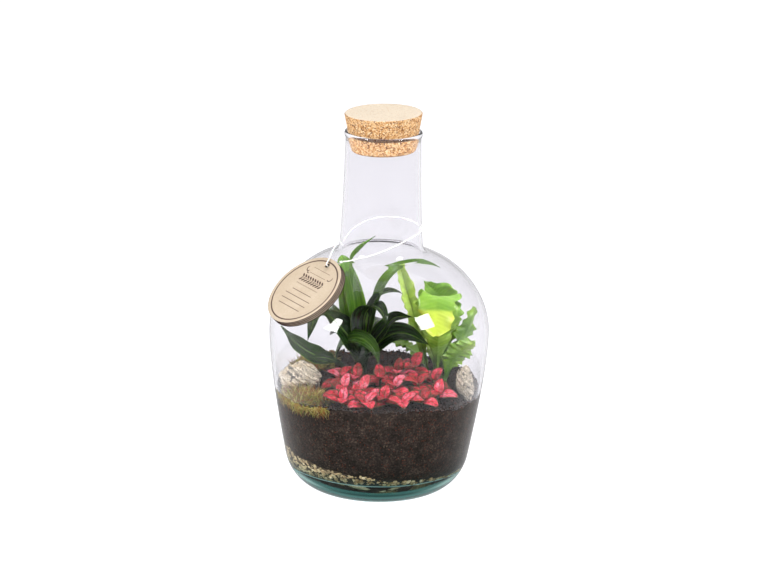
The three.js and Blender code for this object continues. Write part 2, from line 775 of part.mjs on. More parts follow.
const plantedSoil = beds.reduce((soil, bed) => soil.subtract(bed), makeSoil());
addPiece('soil', geometryFrom(plantedSoil), finishes.soil);

// ---------------------------------------------------------------- tag, string and knot

const tagNormal = direction(tagPlace.azimuth, 90 - tagPlace.slope);
const tagCentre = new THREE.Vector3(...tagPlace.centre);
const towardsHole = new THREE.Vector3(...holeBearing).projectOnPlane(tagNormal).normalize();
const tagHole = tagCentre.clone().addScaledVector(towardsHole, tag.holeOffset);

const tagPitch = tag.thickness + CLEARANCE; // from one card of the stack to the next
const tagStack = tagPitch * (tag.count - 1) + tag.thickness;

// a ring of points round a middle on the x axis
function circlePoints(middle, radius, steps) {
  return Array.from({ length: steps }, (_, step) => {
    const turn = (2 * Math.PI * step) / steps;
    return new THREE.Vector2(middle + radius * Math.cos(turn), radius * Math.sin(turn));
  });
}

function makeCard(layer) {
  const outline = new THREE.Shape(circlePoints(-tag.holeOffset, tag.radius, 32));
  outline.holes.push(new THREE.Path(circlePoints(0, tag.holeRadius, 8)));
  const card = new THREE.ExtrudeGeometry(outline, { depth: tag.thickness, bevelEnabled: false });
  // the card's own frame: the hole at the origin, x from the middle to the hole, z out of the stack
  const across = new THREE.Vector3().crossVectors(tagNormal, towardsHole);
  const fan = new THREE.Matrix4().makeRotationZ(radians(tag.fan * layer));
  const seat = new THREE.Matrix4()
    .makeBasis(towardsHole, across, tagNormal)
    .setPosition(inTag(0, -tagPitch * layer - tag.thickness));
  card.applyMatrix4(fan).applyMatrix4(seat);
  return geometryFrom(solidFrom(card));
}

// a point seen from the hole: so far outwards along the card, and so far out of its face
function inTag(outwards, height) {
  return tagHole.clone().addScaledVector(towardsHole, outwards).addScaledVector(tagNormal, height);
}

for (let layer = 0; layer < tag.count; layer++) {
  addPiece(`tag_card_${layer + 1}`, makeCard(layer), finishes.card);
}

const knot = { centre: [-38.9, -45, 243.4], radius: 1.8 };

// the loop round the neck lies askew, lowest at the front left where the tag pulls it down
function loopPoint(azimuth) {
  const turn = radians(azimuth);
  const tilt = 11.6 * Math.cos(turn) + 6.7 * Math.sin(turn);
  const sag = -1.9 * Math.cos(2 * turn) - 3.2 * Math.sin(2 * turn);
  const height = 258.4 + tilt + sag;
  const radius = radiusOf(outerOutline, height) + string.radius + string.slack;
  return new THREE.Vector3(radius * Math.cos(turn), radius * Math.sin(turn), height);
}

// from the knot round the neck, back to the tag, through its holes and up to the knot again
function stringRoute() {
  const loop = [-104, -84, -64, -44, -24, -4, 16, 36, 56, 76, 96, 116, 136, 157].map(loopPoint);
  const free = (...place) => new THREE.Vector3(...place);
  return [
    free(-36.7, -44.6, 243.7),
    free(-31.1, -43.5, 244.3),
    free(-23.2, -41.4, 245.9),
    ...loop,
    free(-43.2, 6, 250.7),
    free(-43.6, -4, 251.2),
    free(-45.9, -16, 250.6),
    free(-48.1, -29, 249.6),
    free(-50.5, -42, 245.9),
    inTag(0, 2),
    inTag(0, 0.5),
    inTag(0, -tagStack / 2),
    inTag(0.1, -tagStack - 0.4),
    inTag(2.5, -tagStack - 1.4),
    inTag(8.6, -tagStack - 1.2),
    free(-40, -44, 241.6),
  ];
}

function makeString() {
  const route = new THREE.CatmullRomCurve3(stringRoute(), false, 'centripetal');
  const section = new THREE.Shape();
  for (let side = 0; side < string.sides; side++) {
    const turn = (2 * Math.PI * side) / string.sides;
    const corner = [string.radius * Math.cos(turn), string.radius * Math.sin(turn)];
    if (side) section.lineTo(...corner);
    else section.moveTo(...corner);
  }
  const tube = new THREE.ExtrudeGeometry(section, { steps: string.steps, extrudePath: route });
  return geometryFrom(solidFrom(tube));
}

addPiece('tag_string', makeString(), finishes.string);

function makeKnot() {
  const lump = ballGeometry(knot.radius, 1);
  return geometryFrom(solidFrom(placed(lump, knot.centre)));
}

addPiece('string_knot', makeKnot(), finishes.string);

export default terrarium;
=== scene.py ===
# %% [markdown]
# # A small garden in a corked bottle
#
# The object is a heavy glass bottle, planted with a dracaena, a fern and a red creeper over gravel
# and soil, closed with a cork and labelled with a stack of round cards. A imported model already
# holds every piece at its real size. This script loads that model and dresses it: each plain solid
# is replaced by a finer mesh of the same form, with a material of its own.
#
# Pieces are drawn in millimetres, as they were measured, and scaled to metres once, when their mesh
# is made. Z is up, the bottle's axis is the Z axis, and the front faces -Y.

# %% Load the model
import math

import bmesh
import bpy
import numpy as np
from mathutils import Matrix, Vector


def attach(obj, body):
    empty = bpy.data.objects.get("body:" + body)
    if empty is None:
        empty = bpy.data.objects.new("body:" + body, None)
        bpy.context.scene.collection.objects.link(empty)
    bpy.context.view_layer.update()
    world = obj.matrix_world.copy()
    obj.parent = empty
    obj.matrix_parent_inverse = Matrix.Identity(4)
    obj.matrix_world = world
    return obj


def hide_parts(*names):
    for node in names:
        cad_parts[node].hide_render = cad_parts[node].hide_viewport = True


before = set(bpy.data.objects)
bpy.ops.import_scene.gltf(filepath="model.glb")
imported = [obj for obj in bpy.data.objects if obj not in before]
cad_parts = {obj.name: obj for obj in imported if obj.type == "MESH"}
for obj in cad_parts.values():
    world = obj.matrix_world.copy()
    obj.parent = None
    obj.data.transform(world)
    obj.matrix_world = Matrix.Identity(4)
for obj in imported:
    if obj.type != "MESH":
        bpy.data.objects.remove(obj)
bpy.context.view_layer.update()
print("solids in the model:", len(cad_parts))

# %% [markdown]
# ## The camera
#
# A photograph is a view from one point. Its distance, tilt and lens were worked out from the
# ellipses of the rim, the cork and the belly: a long lens, 3 m away, that looks down a little. The
# small shift stands for a picture whose middle isn't quite the middle of the lens.

# %% Camera
PICTURE_WIDTH = 772  # pixels
FOCAL_LENGTH = 3134.4  # also in pixels, so it holds for a sensor of any size
SENSOR_WIDTH = 36.0
AXIS_OFFSET = 5.92  # how far the middle of the lens lies beside the middle of the picture
LOOK_DOWN = 16.48  # degrees
ROLL = 1.29
EYE = (0, -3.0, 1.0904)  # in metres

camera_data = bpy.data.cameras.new("camera")
camera_data.sensor_width = SENSOR_WIDTH
camera_data.lens = FOCAL_LENGTH / PICTURE_WIDTH * SENSOR_WIDTH
camera_data.shift_x = AXIS_OFFSET / PICTURE_WIDTH
camera = bpy.data.objects.new("camera", camera_data)
camera.matrix_world = (
    Matrix.Translation(EYE)
    @ Matrix.Rotation(math.radians(90 - LOOK_DOWN), 4, "X")
    @ Matrix.Rotation(math.radians(ROLL), 4, "Z")
)
bpy.context.scene.collection.objects.link(camera)
bpy.context.scene.camera = camera
print("lens:", round(camera_data.lens, 1), "mm")

# %% [markdown]
# ## Tools for making meshes
#
# A mesh is a list of points and a list of faces, and each face names its corners by number. NumPy
# holds both as arrays, so a thousand pebbles are made by a few lines of arithmetic. A named
# attribute stores three numbers at each point, such as how far along a leaf the point lies, and a
# material can read them later.

# %% Meshes from arrays
MM = 0.001


def lerp(low, high, share):
    return low + (high - low) * share


def smoothstep(value, low, high):
    share = np.clip((value - low) / (high - low), 0, 1)
    return share * share * (3 - 2 * share)


def direction(azimuth, elevation):
    turn, rise = math.radians(azimuth), math.radians(elevation)
    return np.array([math.cos(rise) * math.cos(turn), math.cos(rise) * math.sin(turn), math.sin(rise)])


def mesh_piece(name, points, faces, marks=None, smooth=True):
    """An object made of points in millimetres and of arrays of faces, one array for each kind."""
    mesh = bpy.data.meshes.new(name)
    corners = np.concatenate([rows.ravel() for rows in faces]).astype(np.int32)
    sizes = np.concatenate([np.full(len(rows), rows.shape[1]) for rows in faces])
    mesh.vertices.add(len(points))
    mesh.vertices.foreach_set("co", (points * MM).astype(np.float32).ravel())
    mesh.loops.add(len(corners))
    mesh.loops.foreach_set("vertex_index", corners)
    mesh.polygons.add(len(sizes))
    mesh.polygons.foreach_set("loop_start", (np.cumsum(sizes) - sizes).astype(np.int32))
    mesh.polygons.foreach_set("use_smooth", np.full(len(sizes), smooth))
    mesh.update(calc_edges=True)
    if marks is not None:
        attribute = mesh.attributes.new("marks", "FLOAT_VECTOR", "POINT")
        attribute.data.foreach_set("vector", marks.astype(np.float32).ravel())
    piece = bpy.data.objects.new(name, mesh)
    bpy.context.scene.collection.objects.link(piece)
    return piece


class Heap:
    """Gathers many small shapes into the arrays of one mesh."""

    def __init__(self):
        self.points, self.faces, self.marks, self.count = [], [], [], 0

    def add(self, points, faces, marks):
        self.points.append(points)
        self.faces += [rows + self.count for rows in faces]
        self.marks.append(np.broadcast_to(marks, points.shape))
        self.count += len(points)

    def piece(self, name, smooth=True):
        by_size = {}
        for rows in self.faces:
            by_size.setdefault(rows.shape[1], []).append(rows)
        faces = [np.concatenate(rows) for rows in by_size.values()]
        return mesh_piece(name, np.concatenate(self.points), faces, np.concatenate(self.marks), smooth)


def place(piece, material, slot, *nodes):
    """Gives a finished piece its material and puts it in the place of its solids."""
    piece.data.materials.append(material)
    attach(piece, "root")
    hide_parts(*nodes)
    print(piece.name, "has", len(piece.data.vertices), "points")


# %% Grids, spun shapes and roughness
def grid_faces(rows, columns, closed=False):
    """Faces between the points of a grid. closed joins its last column to its first."""
    step = np.arange(columns if closed else columns - 1)
    here = np.arange(rows - 1)[:, None] * columns
    beside = (step + 1) % columns
    corners = [here + step, here + beside, here + columns + beside, here + columns + step]
    return np.stack([np.broadcast_to(c, (rows - 1, len(step))) for c in corners], -1).reshape(-1, 4)


def full_turn(steps):
    """The angles of points that are spread evenly round a circle."""
    return np.arange(steps) * 2 * math.pi / steps


def around(radius, turns, height):
    """Points round the Z axis, from their distances, angles and heights."""
    return np.stack(np.broadcast_arrays(radius * np.cos(turns), radius * np.sin(turns), height), -1)


def capped(rings, bottom, top):
    """Joins rings of points into a skin, and closes it at either end with a fan round one point."""
    count, steps = rings.shape[:2]
    points = np.concatenate([rings.reshape(-1, 3), [bottom], [top]])
    first = np.arange(steps)
    beside = (first + 1) % steps
    last = (count - 1) * steps
    fans = [
        [beside, first, np.full(steps, len(points) - 2)],
        [last + first, last + beside, np.full(steps, len(points) - 1)],
    ]
    return points, [grid_faces(count, steps, True)] + [np.stack(fan, -1) for fan in fans]


def spun(outline, steps):
    """Spins (radius, height) points round the Z axis. The first and last lie on the axis."""
    outline = np.asarray(outline, float)
    rings = around(outline[1:-1, :1], full_turn(steps), outline[1:-1, 1:])
    return capped(rings, (0, 0, outline[0, 1]), (0, 0, outline[-1, 1]))


def turned(points, angles):
    """Turns points about X, Y and Z, in that order of multiplication, as the solids are."""
    matrix = Matrix.Identity(3)
    for angle, axis in zip(angles, "XYZ"):
        matrix = matrix @ Matrix.Rotation(math.radians(angle), 3, axis)
    return points @ np.array(matrix).T


def rounded(points, times):
    """Cuts the corners of a line of points, again and again, so that they become round."""
    points = np.asarray(points, float)
    for _ in range(times):
        near, far = points[:-1], points[1:]
        cut = np.stack([0.75 * near + 0.25 * far, 0.25 * near + 0.75 * far], 1).reshape(-1, points.shape[1])
        points = np.concatenate([points[:1], cut, points[-1:]])
    return points


def roughness(points, size, seed, octaves=3):
    """Smooth noise from about -1 to 1 at each point: sine waves that cross at random."""
    draw = np.random.default_rng(seed)
    total = np.zeros(points.shape[:-1])
    for octave in range(octaves):
        for _ in range(6):
            wave = draw.normal(size=3)
            wave *= 2 * math.pi * 2**octave / size / np.linalg.norm(wave)
            total += np.sin(points @ wave + draw.uniform(0, 2 * math.pi)) * 0.6**octave
    return total / 4


# %% [markdown]
# ## The string
#
# A thin cotton string goes round the neck and holds the tag. It is modelled along one route, point
# by point: from the knot round the neck, back to the tag, through the holes of its cards, and up to
# the knot again. A smooth curve joins the points, and two plies twist about each other along it.

# %% The tag's place
TAG_RADIUS, CARD_THICKNESS, CARD_COUNT = 41.6, 1.1, 4
HOLE_RADIUS, HOLE_OFFSET, CARD_FAN = 2.2, 33.4, 1.3
CLEARANCE = 0.35
CARD_PITCH = CARD_THICKNESS + CLEARANCE
STACK = CARD_PITCH * (CARD_COUNT - 1) + CARD_THICKNESS

tag_centre = np.array([-74.1, -60.4, 218.7])
tag_normal = direction(217, 90 - 39.4)
towards_hole = np.array([0.658, 0.409, 0.633])
towards_hole -= tag_normal * (towards_hole @ tag_normal)
towards_hole /= np.linalg.norm(towards_hole)
tag_hole = tag_centre + towards_hole * HOLE_OFFSET


def in_tag(outwards, height):
    """A point seen from the hole: so far out along the card, and so far above its face."""
    return tag_hole + towards_hole * outwards + tag_normal * height


# %% The bottle's outline
# Each curve of the outside starts where the last one ends, and is drawn by its control points.
OUTER_CURVES = [
    [(56, 0), (76, 0.5), (89, 16), (92.5, 34)],
    [(92.5, 34), (98, 64), (110, 125), (110, 162)],
    [(110, 162), (110, 196), (84, 230), (48, 241.5)],
    [(48, 241.5), (42.4, 243.6), (41.2, 252)],
    [(41.2, 252), (38.4, 296), (37.4, 360)],
]
CURVE_STEPS = [20, 20, 34, 14, 16]


def bezier(controls, steps):
    """Points of a curve: its control points are blended until one is left."""
    share = np.linspace(0, 1, steps + 1)[:, None]
    blended = [np.array(point, float) for point in controls]
    while len(blended) > 1:
        blended = [lerp(a, b, share) for a, b in zip(blended, blended[1:])]
    return blended[0]


outer = np.concatenate(
    [OUTER_CURVES[0][:1]] + [bezier(curve, steps)[1:] for curve, steps in zip(OUTER_CURVES, CURVE_STEPS)]
)


def outer_radius(height):
    return np.interp(height, outer[:, 1], outer[:, 0])


print("outline of the glass:", len(outer), "points")

# %% The string's route
STRING_RADIUS = 0.7
PLIES = {"twist": 0.9, "lobes": 0.09}
LOOP_AZIMUTHS = [-104, -84, -64, -44, -24, -4, 16, 36, 56, 76, 96, 116, 136, 157]
STRING_SLACK = 0.5


def loop_point(azimuth):
    """The loop lies askew round the neck, lowest where the tag pulls it down."""
    turn = math.radians(azimuth)
    tilt = 11.6 * math.cos(turn) + 6.7 * math.sin(turn)
    sag = -1.9 * math.cos(2 * turn) - 3.2 * math.sin(2 * turn)
    height = 258.4 + tilt + sag
    return around(outer_radius(height) + STRING_RADIUS + STRING_SLACK, turn, height)


route = np.array(
    [(-36.7, -44.6, 243.7), (-31.1, -43.5, 244.3), (-23.2, -41.4, 245.9)]
    + [loop_point(azimuth) for azimuth in LOOP_AZIMUTHS]
    + [(-43.2, 6, 250.7), (-43.6, -4, 251.2), (-45.9, -16, 250.6), (-48.1, -29, 249.6), (-50.5, -42, 245.9)]
    + [in_tag(0, 2), in_tag(0, 0.5), in_tag(0, -STACK / 2), in_tag(0.1, -STACK - 0.4)]
    + [in_tag(2.5, -STACK - 1.4), in_tag(8.6, -STACK - 1.2), (-40, -44, 241.6)]
)


def smooth_line(points, steps):
    """A curve through every point, which swings less where points are close together."""
    ends = [2 * points[0] - points[1], 2 * points[-1] - points[-2]]
    padded = np.concatenate([ends[:1], points, ends[1:]])
    gaps = np.linalg.norm(np.diff(padded, axis=0), axis=1) ** 0.5
    share = np.linspace(0, 1, steps, endpoint=False)[:, None]
    line = []
    for i in range(len(points) - 1):
        before, start, end, after = padded[i : i + 4]
        g0, g1, g2 = gaps[i : i + 3]
        leave = ((start - before) / g0 - (end - before) / (g0 + g1) + (end - start) / g1) * g1
        arrive = ((end - start) / g1 - (after - start) / (g1 + g2) + (after - end) / g2) * g1
        line.append(
            start * (2 * share**3 - 3 * share**2 + 1)
            + leave * (share**3 - 2 * share**2 + share)
            + end * (3 * share**2 - 2 * share**3)
            + arrive * (share**3 - share**2)
        )
    return np.concatenate(line + [points[-1:]])


string_line = smooth_line(route, 16)


# %% Tubes along a line
def tube(line, radius, sides, twist=0.0, lobes=0.0):
    """A closed tube. lobes swells its section into two plies, which twist along it."""
    along = np.gradient(line, axis=0)
    along /= np.linalg.norm(along, axis=1)[:, None]
    side = np.cross(along[0], [0.3, 0.5, 0.8])
    sides_at = []
    for step in along:
        side = side - step * (side @ step)
        side = side / np.linalg.norm(side)
        sides_at.append(side)
    sides_at = np.array(sides_at)
    ups = np.cross(along, sides_at)
    walked = np.concatenate([[0], np.cumsum(np.linalg.norm(np.diff(line, axis=0), axis=1))])[:, None]
    turn = full_turn(sides)[None, :]
    swell = 1 + lobes * (np.cos(2 * (turn - twist * walked)) - 1)
    reach = np.broadcast_to(radius, (len(line),))[:, None] * swell
    rings = (
        line[:, None]
        + sides_at[:, None] * (reach * np.cos(turn))[..., None]
        + ups[:, None] * (reach * np.sin(turn))[..., None]
    )
    return capped(rings, line[0], line[-1])


# %% [markdown]
# ## Tools for making materials
#
# A Blender material is a net of nodes. Written as Python, the sums read as sums: a small class
# stands for one socket, and adding or multiplying two of them adds the Math node that does it.

# %% Shader maths
class Wire:
    """One output socket of a node, which can be used in arithmetic."""

    def __init__(self, recipe, socket):
        self.recipe, self.socket = recipe, socket

    def maths(self, operation, *values):
        return self.recipe.node("ShaderNodeMath", {"operation": operation}, dict(enumerate(values)))

    def __add__(self, other):
        return self.maths("ADD", self, other)

    def __sub__(self, other):
        return self.maths("SUBTRACT", self, other)

    def __mul__(self, other):
        return self.maths("MULTIPLY", self, other)

    def __pow__(self, other):
        return self.maths("POWER", self, other)

    def __rsub__(self, other):
        return self.maths("SUBTRACT", other, self)

    __radd__, __rmul__ = __add__, __mul__

    def sine(self):
        return self.maths("SINE", self)

    def size(self):
        return self.maths("ABSOLUTE", self)

    def least(self, other):
        return self.maths("MINIMUM", self, other)

    def most(self, other):
        return self.maths("MAXIMUM", self, other)

    def below(self, other):
        """1 where the value is below the other one, and 0 elsewhere."""
        return self.maths("LESS_THAN", self, other)

    def between(self, low, high):
        """Rises smoothly from 0 to 1 as the value goes from low to high, which may be the lower."""
        settings = {"interpolation_type": "SMOOTHSTEP"}
        sockets = {"Value": self, "From Min": low, "From Max": high}
        return self.recipe.node("ShaderNodeMapRange", settings, sockets)


class Recipe:
    """A material under construction, or a world, if kind is the list of worlds."""

    def __init__(self, name, kind=bpy.data.materials):
        self.made = kind.new(name)
        self.made.use_nodes = True
        self.tree = self.made.node_tree
        self.tree.nodes.clear()

    def node(self, kind, settings=None, sockets=None, output=0):
        """Adds a node: first its settings, then the values or wires of its sockets."""
        made = self.tree.nodes.new(kind)
        for key, value in (settings or {}).items():
            if key == "stops":
                fill_ramp(made.color_ramp, value)
            else:
                setattr(made, key, value)
        for key, value in (sockets or {}).items():
            if isinstance(value, Wire):
                self.tree.links.new(value.socket, made.inputs[key])
            else:
                made.inputs[key].default_value = value
        return Wire(self, made.outputs[output]) if made.outputs else made

    def part(self, vector, axis):
        """One number of a vector: axis is 0, 1 or 2 for X, Y or Z."""
        return self.node("ShaderNodeSeparateXYZ", None, {0: vector}, axis)

    def marks(self):
        """The three numbers that were stored at each point of the mesh."""
        vector = self.node("ShaderNodeAttribute", {"attribute_name": "marks"}, output="Vector")
        return [self.part(vector, axis) for axis in range(3)]

    def place(self):
        """Where the point lies, in metres."""
        return self.node("ShaderNodeTexCoord", output="Object")

    def height(self):
        return self.part(self.place(), 2)

    def upwards(self):
        """How far the surface faces up: 1 on a level top and 0 on an upright side."""
        return self.part(self.node("ShaderNodeNewGeometry", output="Normal"), 2)

    def vector(self, x, y, z=0.0):
        return self.node("ShaderNodeCombineXYZ", None, {0: x, 1: y, 2: z})

    def noise(self, scale, detail=3.0, rough=0.6, at=None):
        sockets = {"Vector": at or self.place(), "Scale": scale, "Detail": detail, "Roughness": rough}
        return self.node("ShaderNodeTexNoise", None, sockets)

    def cells(self, scale, feature="F1", output="Distance", at=None):
        sockets = {"Vector": at or self.place(), "Scale": scale}
        return self.node("ShaderNodeTexVoronoi", {"feature": feature}, sockets, output)

    def cell_value(self, scale):
        """One random number for each cell."""
        return self.node("ShaderNodeSeparateColor", None, {0: self.cells(scale, output="Color")})

    def ramp(self, value, *stops):
        return self.node("ShaderNodeValToRGB", {"stops": stops}, {0: value})

    def mix(self, share, low, high):
        """Blends two colours."""
        sockets = {0: share, 6: as_colour(low), 7: as_colour(high)}
        return self.node("ShaderNodeMix", {"data_type": "RGBA"}, sockets, 2)

    def bump(self, height, depth, strength=1.0):
        """Surface relief: depth is how many millimetres a height of 1 stands for."""
        sockets = {"Height": height, "Distance": depth * MM, "Strength": strength}
        return self.node("ShaderNodeBump", None, sockets)

    def finish(self, colour, **sockets):
        """The surface itself. Underscores in a name stand for the spaces of Blender's socket."""
        values = {key.replace("_", " "): value for key, value in sockets.items()}
        shader = self.node("ShaderNodeBsdfPrincipled", None, {"Base Color": as_colour(colour), **values})
        self.node("ShaderNodeOutputMaterial", None, {0: shader})
        return self.made


def as_colour(colour):
    """A colour as a wire, or as four numbers from a web colour such as 0x8fbf3a."""
    if not isinstance(colour, int):
        return colour

    def linear(part):
        return part / 12.92 if part <= 0.04045 else ((part + 0.055) / 1.055) ** 2.4

    return tuple(linear((colour >> shift & 255) / 255) for shift in (16, 8, 0)) + (1,)


def fill_ramp(ramp, stops):
    """Sets a colour ramp from pairs of a place and a colour."""
    while len(ramp.elements) < len(stops):
        ramp.elements.new(1)
    for element, (spot, colour) in zip(ramp.elements, stops):
        element.position = spot
        element.color = as_colour(colour)


# %% [markdown]
# ## String and knot
#
# Cotton string is matt and slightly fuzzy. At arm's length it shows as a white line with faint
# diagonal shadows between its plies, so the plies are modelled and the fibres are left to a bump.

# %% The string
def cotton_finish():
    cotton = Recipe("cotton string")
    fibres = cotton.noise(2600, 2)
    colour = cotton.ramp(fibres, (0.25, 0xF4F1EA), (0.7, 0xFFFFFF))
    return cotton.finish(
        colour, Roughness=0.85, Normal=cotton.bump(fibres, 0.15), Sheen_Weight=0.2, Subsurface_Weight=0.1,
        Subsurface_Scale=0.001,
    )


cotton_white = cotton_finish()
string = mesh_piece("cotton_string", *tube(string_line, STRING_RADIUS, 12, **PLIES))
place(string, cotton_white, "string", "tag_string")

KNOT_CENTRE = np.array([-38.9, -45, 243.4])
KNOT_RADIUS, PULLED_RADIUS = 1.25, 0.66  # of the knot, and of the string in it
turn = np.linspace(0, 2 * math.pi, 90)[:, None]
# the string is tied in a trefoil, the simplest real knot, pulled tight
trefoil = np.concatenate(
    [np.sin(turn) + 2 * np.sin(2 * turn), np.cos(turn) - 2 * np.cos(2 * turn), -1.4 * np.sin(3 * turn)], 1
)
knot_line = KNOT_CENTRE + trefoil * KNOT_RADIUS / 3
knot = mesh_piece("cotton_knot", *tube(knot_line, PULLED_RADIUS, 10, **PLIES))
place(knot, cotton_white, "string", "string_knot")

# %% [markdown]
# ## The studio
#
# Glass shows what stands round it. The photograph has two softboxes, mirrored as bright patches on
# the belly, and a white room. Each softbox was placed by following the line of sight to its patch
# and mirroring it in the glass there. A third, above, only lights. The floor is plain and pale.

# %% Floor and light
LIGHTS = {
    # name: (place, width, height, watts)
    "left softbox": ((-1.12, -0.81, 0.89), 0.43, 0.45, 19),
    "right softbox": ((1.08, -0.75, 1.00), 0.43, 0.45, 19),
    "top softbox": ((0.1, 0.4, 2.2), 1.6, 1.6, 18),
}
AIM = Vector((0, 0, 0.19))

for name, (spot, width, height, watts) in LIGHTS.items():
    lamp = bpy.data.lights.new(name, "AREA")
    lamp.shape = "RECTANGLE"
    lamp.size, lamp.size_y, lamp.energy = width, height, watts
    holder = bpy.data.objects.new(name, lamp)
    holder.location = spot
    holder.rotation_euler = (AIM - Vector(spot)).to_track_quat("-Z", "Y").to_euler()
    holder.visible_camera = False
    holder.visible_glossy = name != "top softbox"  # no third patch shows on the shoulder
    bpy.context.scene.collection.objects.link(holder)

# The room is white where it is seen, straight or through the glass. Mirrored by glass or leaf it is
# dark in front, where the photographer stands, and as light on matt surfaces it is dim and even.
ROOM_FRONT, ROOM_BACK = -0.35, 0.6  # the Y of the directions between which the mirrored room lightens
ROOM_MIRRORED = (0.03, 0.62)  # how bright it is at the front and at the back
ROOM_LIGHT = 0.35


def white_room():
    room = Recipe("white room", bpy.data.worlds)

    def ray(fact):
        return room.node("ShaderNodeLightPath", output=fact)

    depth = room.part(room.node("ShaderNodeTexCoord", output="Generated"), 1)
    mirrored = room.node("ShaderNodeMapRange", None, {
        "Value": depth, "From Min": ROOM_FRONT, "From Max": ROOM_BACK,
        "To Min": ROOM_MIRRORED[0], "To Max": ROOM_MIRRORED[1],
    })
    through = ray("Is Transmission Ray") * ray("Glossy Depth").below(1)
    seen = ray("Is Camera Ray").most(through).most(mirrored)
    sockets = {"Color": (1, 0.995, 1, 1), "Strength": lerp(seen, ROOM_LIGHT, ray("Diffuse Depth").least(1))}
    room.node("ShaderNodeOutputWorld", None, {0: room.node("ShaderNodeBackground", None, sockets)})
    return room.made


bpy.context.scene.world = white_room()
bpy.context.scene.view_settings.view_transform = "Standard"

paper = Recipe("white paper floor")
paper_grain = paper.noise(90, 4)
floor_colour = paper.ramp(paper_grain, (0.3, 0x9C9C9E), (0.7, 0xA6A6A8))
floor_white = paper.finish(
    floor_colour, Roughness=0.6, Normal=paper.bump(paper_grain, 0.02), Emission_Color=as_colour(0xFBFBFF),
    Emission_Strength=0.9,
)
FLOOR_REACH = 9000
floor_corners = np.array([(-1, -1, 0), (1, -1, 0), (1, 1, 0), (-1, 1, 0)]) * FLOOR_REACH
floor = mesh_piece("paper_floor", floor_corners, [np.array([[0, 1, 2, 3]])])
floor.data.materials.append(floor_white)
floor.visible_glossy = False  # the floor is hidden from reflections, so that it isn't mirrored in the belly

# %% [markdown]
# ## The bottle
#
# A blown bottle is a body of revolution: one outline, spun round the axis. Outside and inside are
# one closed surface, because glass bends light where it starts and where it ends. The wall is thin
# above and grows into a floor of 22 mm, whose green tint comes from iron in the melt.

# %% Glass
WALL, FLOOR_THICKNESS, FLOOR_BLEND = 2.6, 22, 54

along = np.gradient(outer, axis=0)
along /= np.linalg.norm(along, axis=1)[:, None]
wall = lerp(FLOOR_THICKNESS, WALL, smoothstep(outer[:, 1], 0, FLOOR_BLEND))[:, None]
inner = outer - wall * np.stack([along[:, 1], -along[:, 0]], 1)


def inner_radius(height):
    return np.interp(height, inner[:, 1], inner[:, 0])


rim = rounded(
    [outer[-1], (38.6, 361.6), (38.6, 364.6), (37.4, 366), (35.9, 366), (35.3, 364), inner[-1]], 3
)
foot = rounded([(0, 2.5), (42, 2.5), (48, 0), (56, 0)], 3)
bowl = rounded([inner[0], (20, FLOOR_THICKNESS), (0, FLOOR_THICKNESS)], 2)
glass_outline = np.concatenate([foot[:-1], outer[:-1], rim, inner[-2:0:-1], bowl])
bottle = mesh_piece("bottle_glass", *spun(glass_outline, 144))


def glass_finish():
    glass = Recipe("bottle glass")
    height = glass.height()
    # the thick base is dark green, with a lit edge below and a pale line where the floor's top is
    tint = glass.ramp(
        height * 10, (0.035, 0x58BAB4), (0.065, 0x12403C), (0.15, 0x1A4A46), (0.19, 0x8EBDB7),
        (0.24, 0xA6CBC6), (0.3, 0xE9F0EF), (1, 0xEFEEF0),
    )
    waves = glass.noise(18, 1)
    return glass.finish(
        tint, Roughness=0.0, Transmission_Weight=1.0, IOR=1.38, Normal=glass.bump(waves, 0.5, 0.3)
    )


place(bottle, glass_finish(), "glass", "glass_bottle")
bottle.visible_shadow = False  # so that lamps light what is inside

# %% [markdown]
# ## The cork
#
# The stopper is pressed from cork crumbs. Each crumb has its own tan, with dark bark between some
# of them. A Voronoi texture cuts space into such cells: one set gives the crumbs, another the
# specks of bark.

# %% Stopper
CORK_TOP, CORK_BOTTOM, CORK_LENGTH, CORK_BEVEL = 38.5, 31.8, 38, 1.2
CORK_PROUD, CORK_TILT, RIM_HEIGHT = 18.5, 1.6, 366


def cork_finish():
    cork = Recipe("pressed cork")
    crumb = cork.cell_value(760)
    fine = cork.noise(1500, 3, 0.7)
    edge = cork.cells(760, "DISTANCE_TO_EDGE")
    bark = cork.cell_value(1050).between(0.74, 0.79) * cork.noise(260, 2).between(0.36, 0.5)
    tan = cork.ramp(
        crumb * 0.75 + fine * 0.25, (0.1, 0xA87442), (0.35, 0xC4935C), (0.6, 0xD6AE7C), (0.85, 0xE8CDA4),
    )
    lined = cork.mix(edge.between(0.1, 0.0) * 0.35, tan, 0x8F5B2E)
    barked = cork.mix(bark * 0.9, lined, 0x5A2A14)
    # painted shade: a dark ring round the side, where the cork sits in the mouth of the bottle
    rim_shade = cork.height().between(0.3614, 0.3624) * cork.height().between(0.3646, 0.3638)
    rim_shaded = cork.mix(rim_shade * 0.85, barked, 0x2A100C)
    flecks = cork.cell_value(900).between(0.9, 0.93) * 0.5
    planed = cork.mix(flecks, cork.ramp(fine, (0.3, 0xD8C9B4), (0.7, 0xE6DCCB)), 0xC9A67C)
    colour = cork.mix(cork.upwards().between(0.6, 0.9) * 0.88, rim_shaded, planed)
    relief = edge.between(0, 0.2) * 0.4 + fine * 0.4 - bark
    return cork.finish(colour, Roughness=0.85, Normal=cork.bump(relief, 0.2))


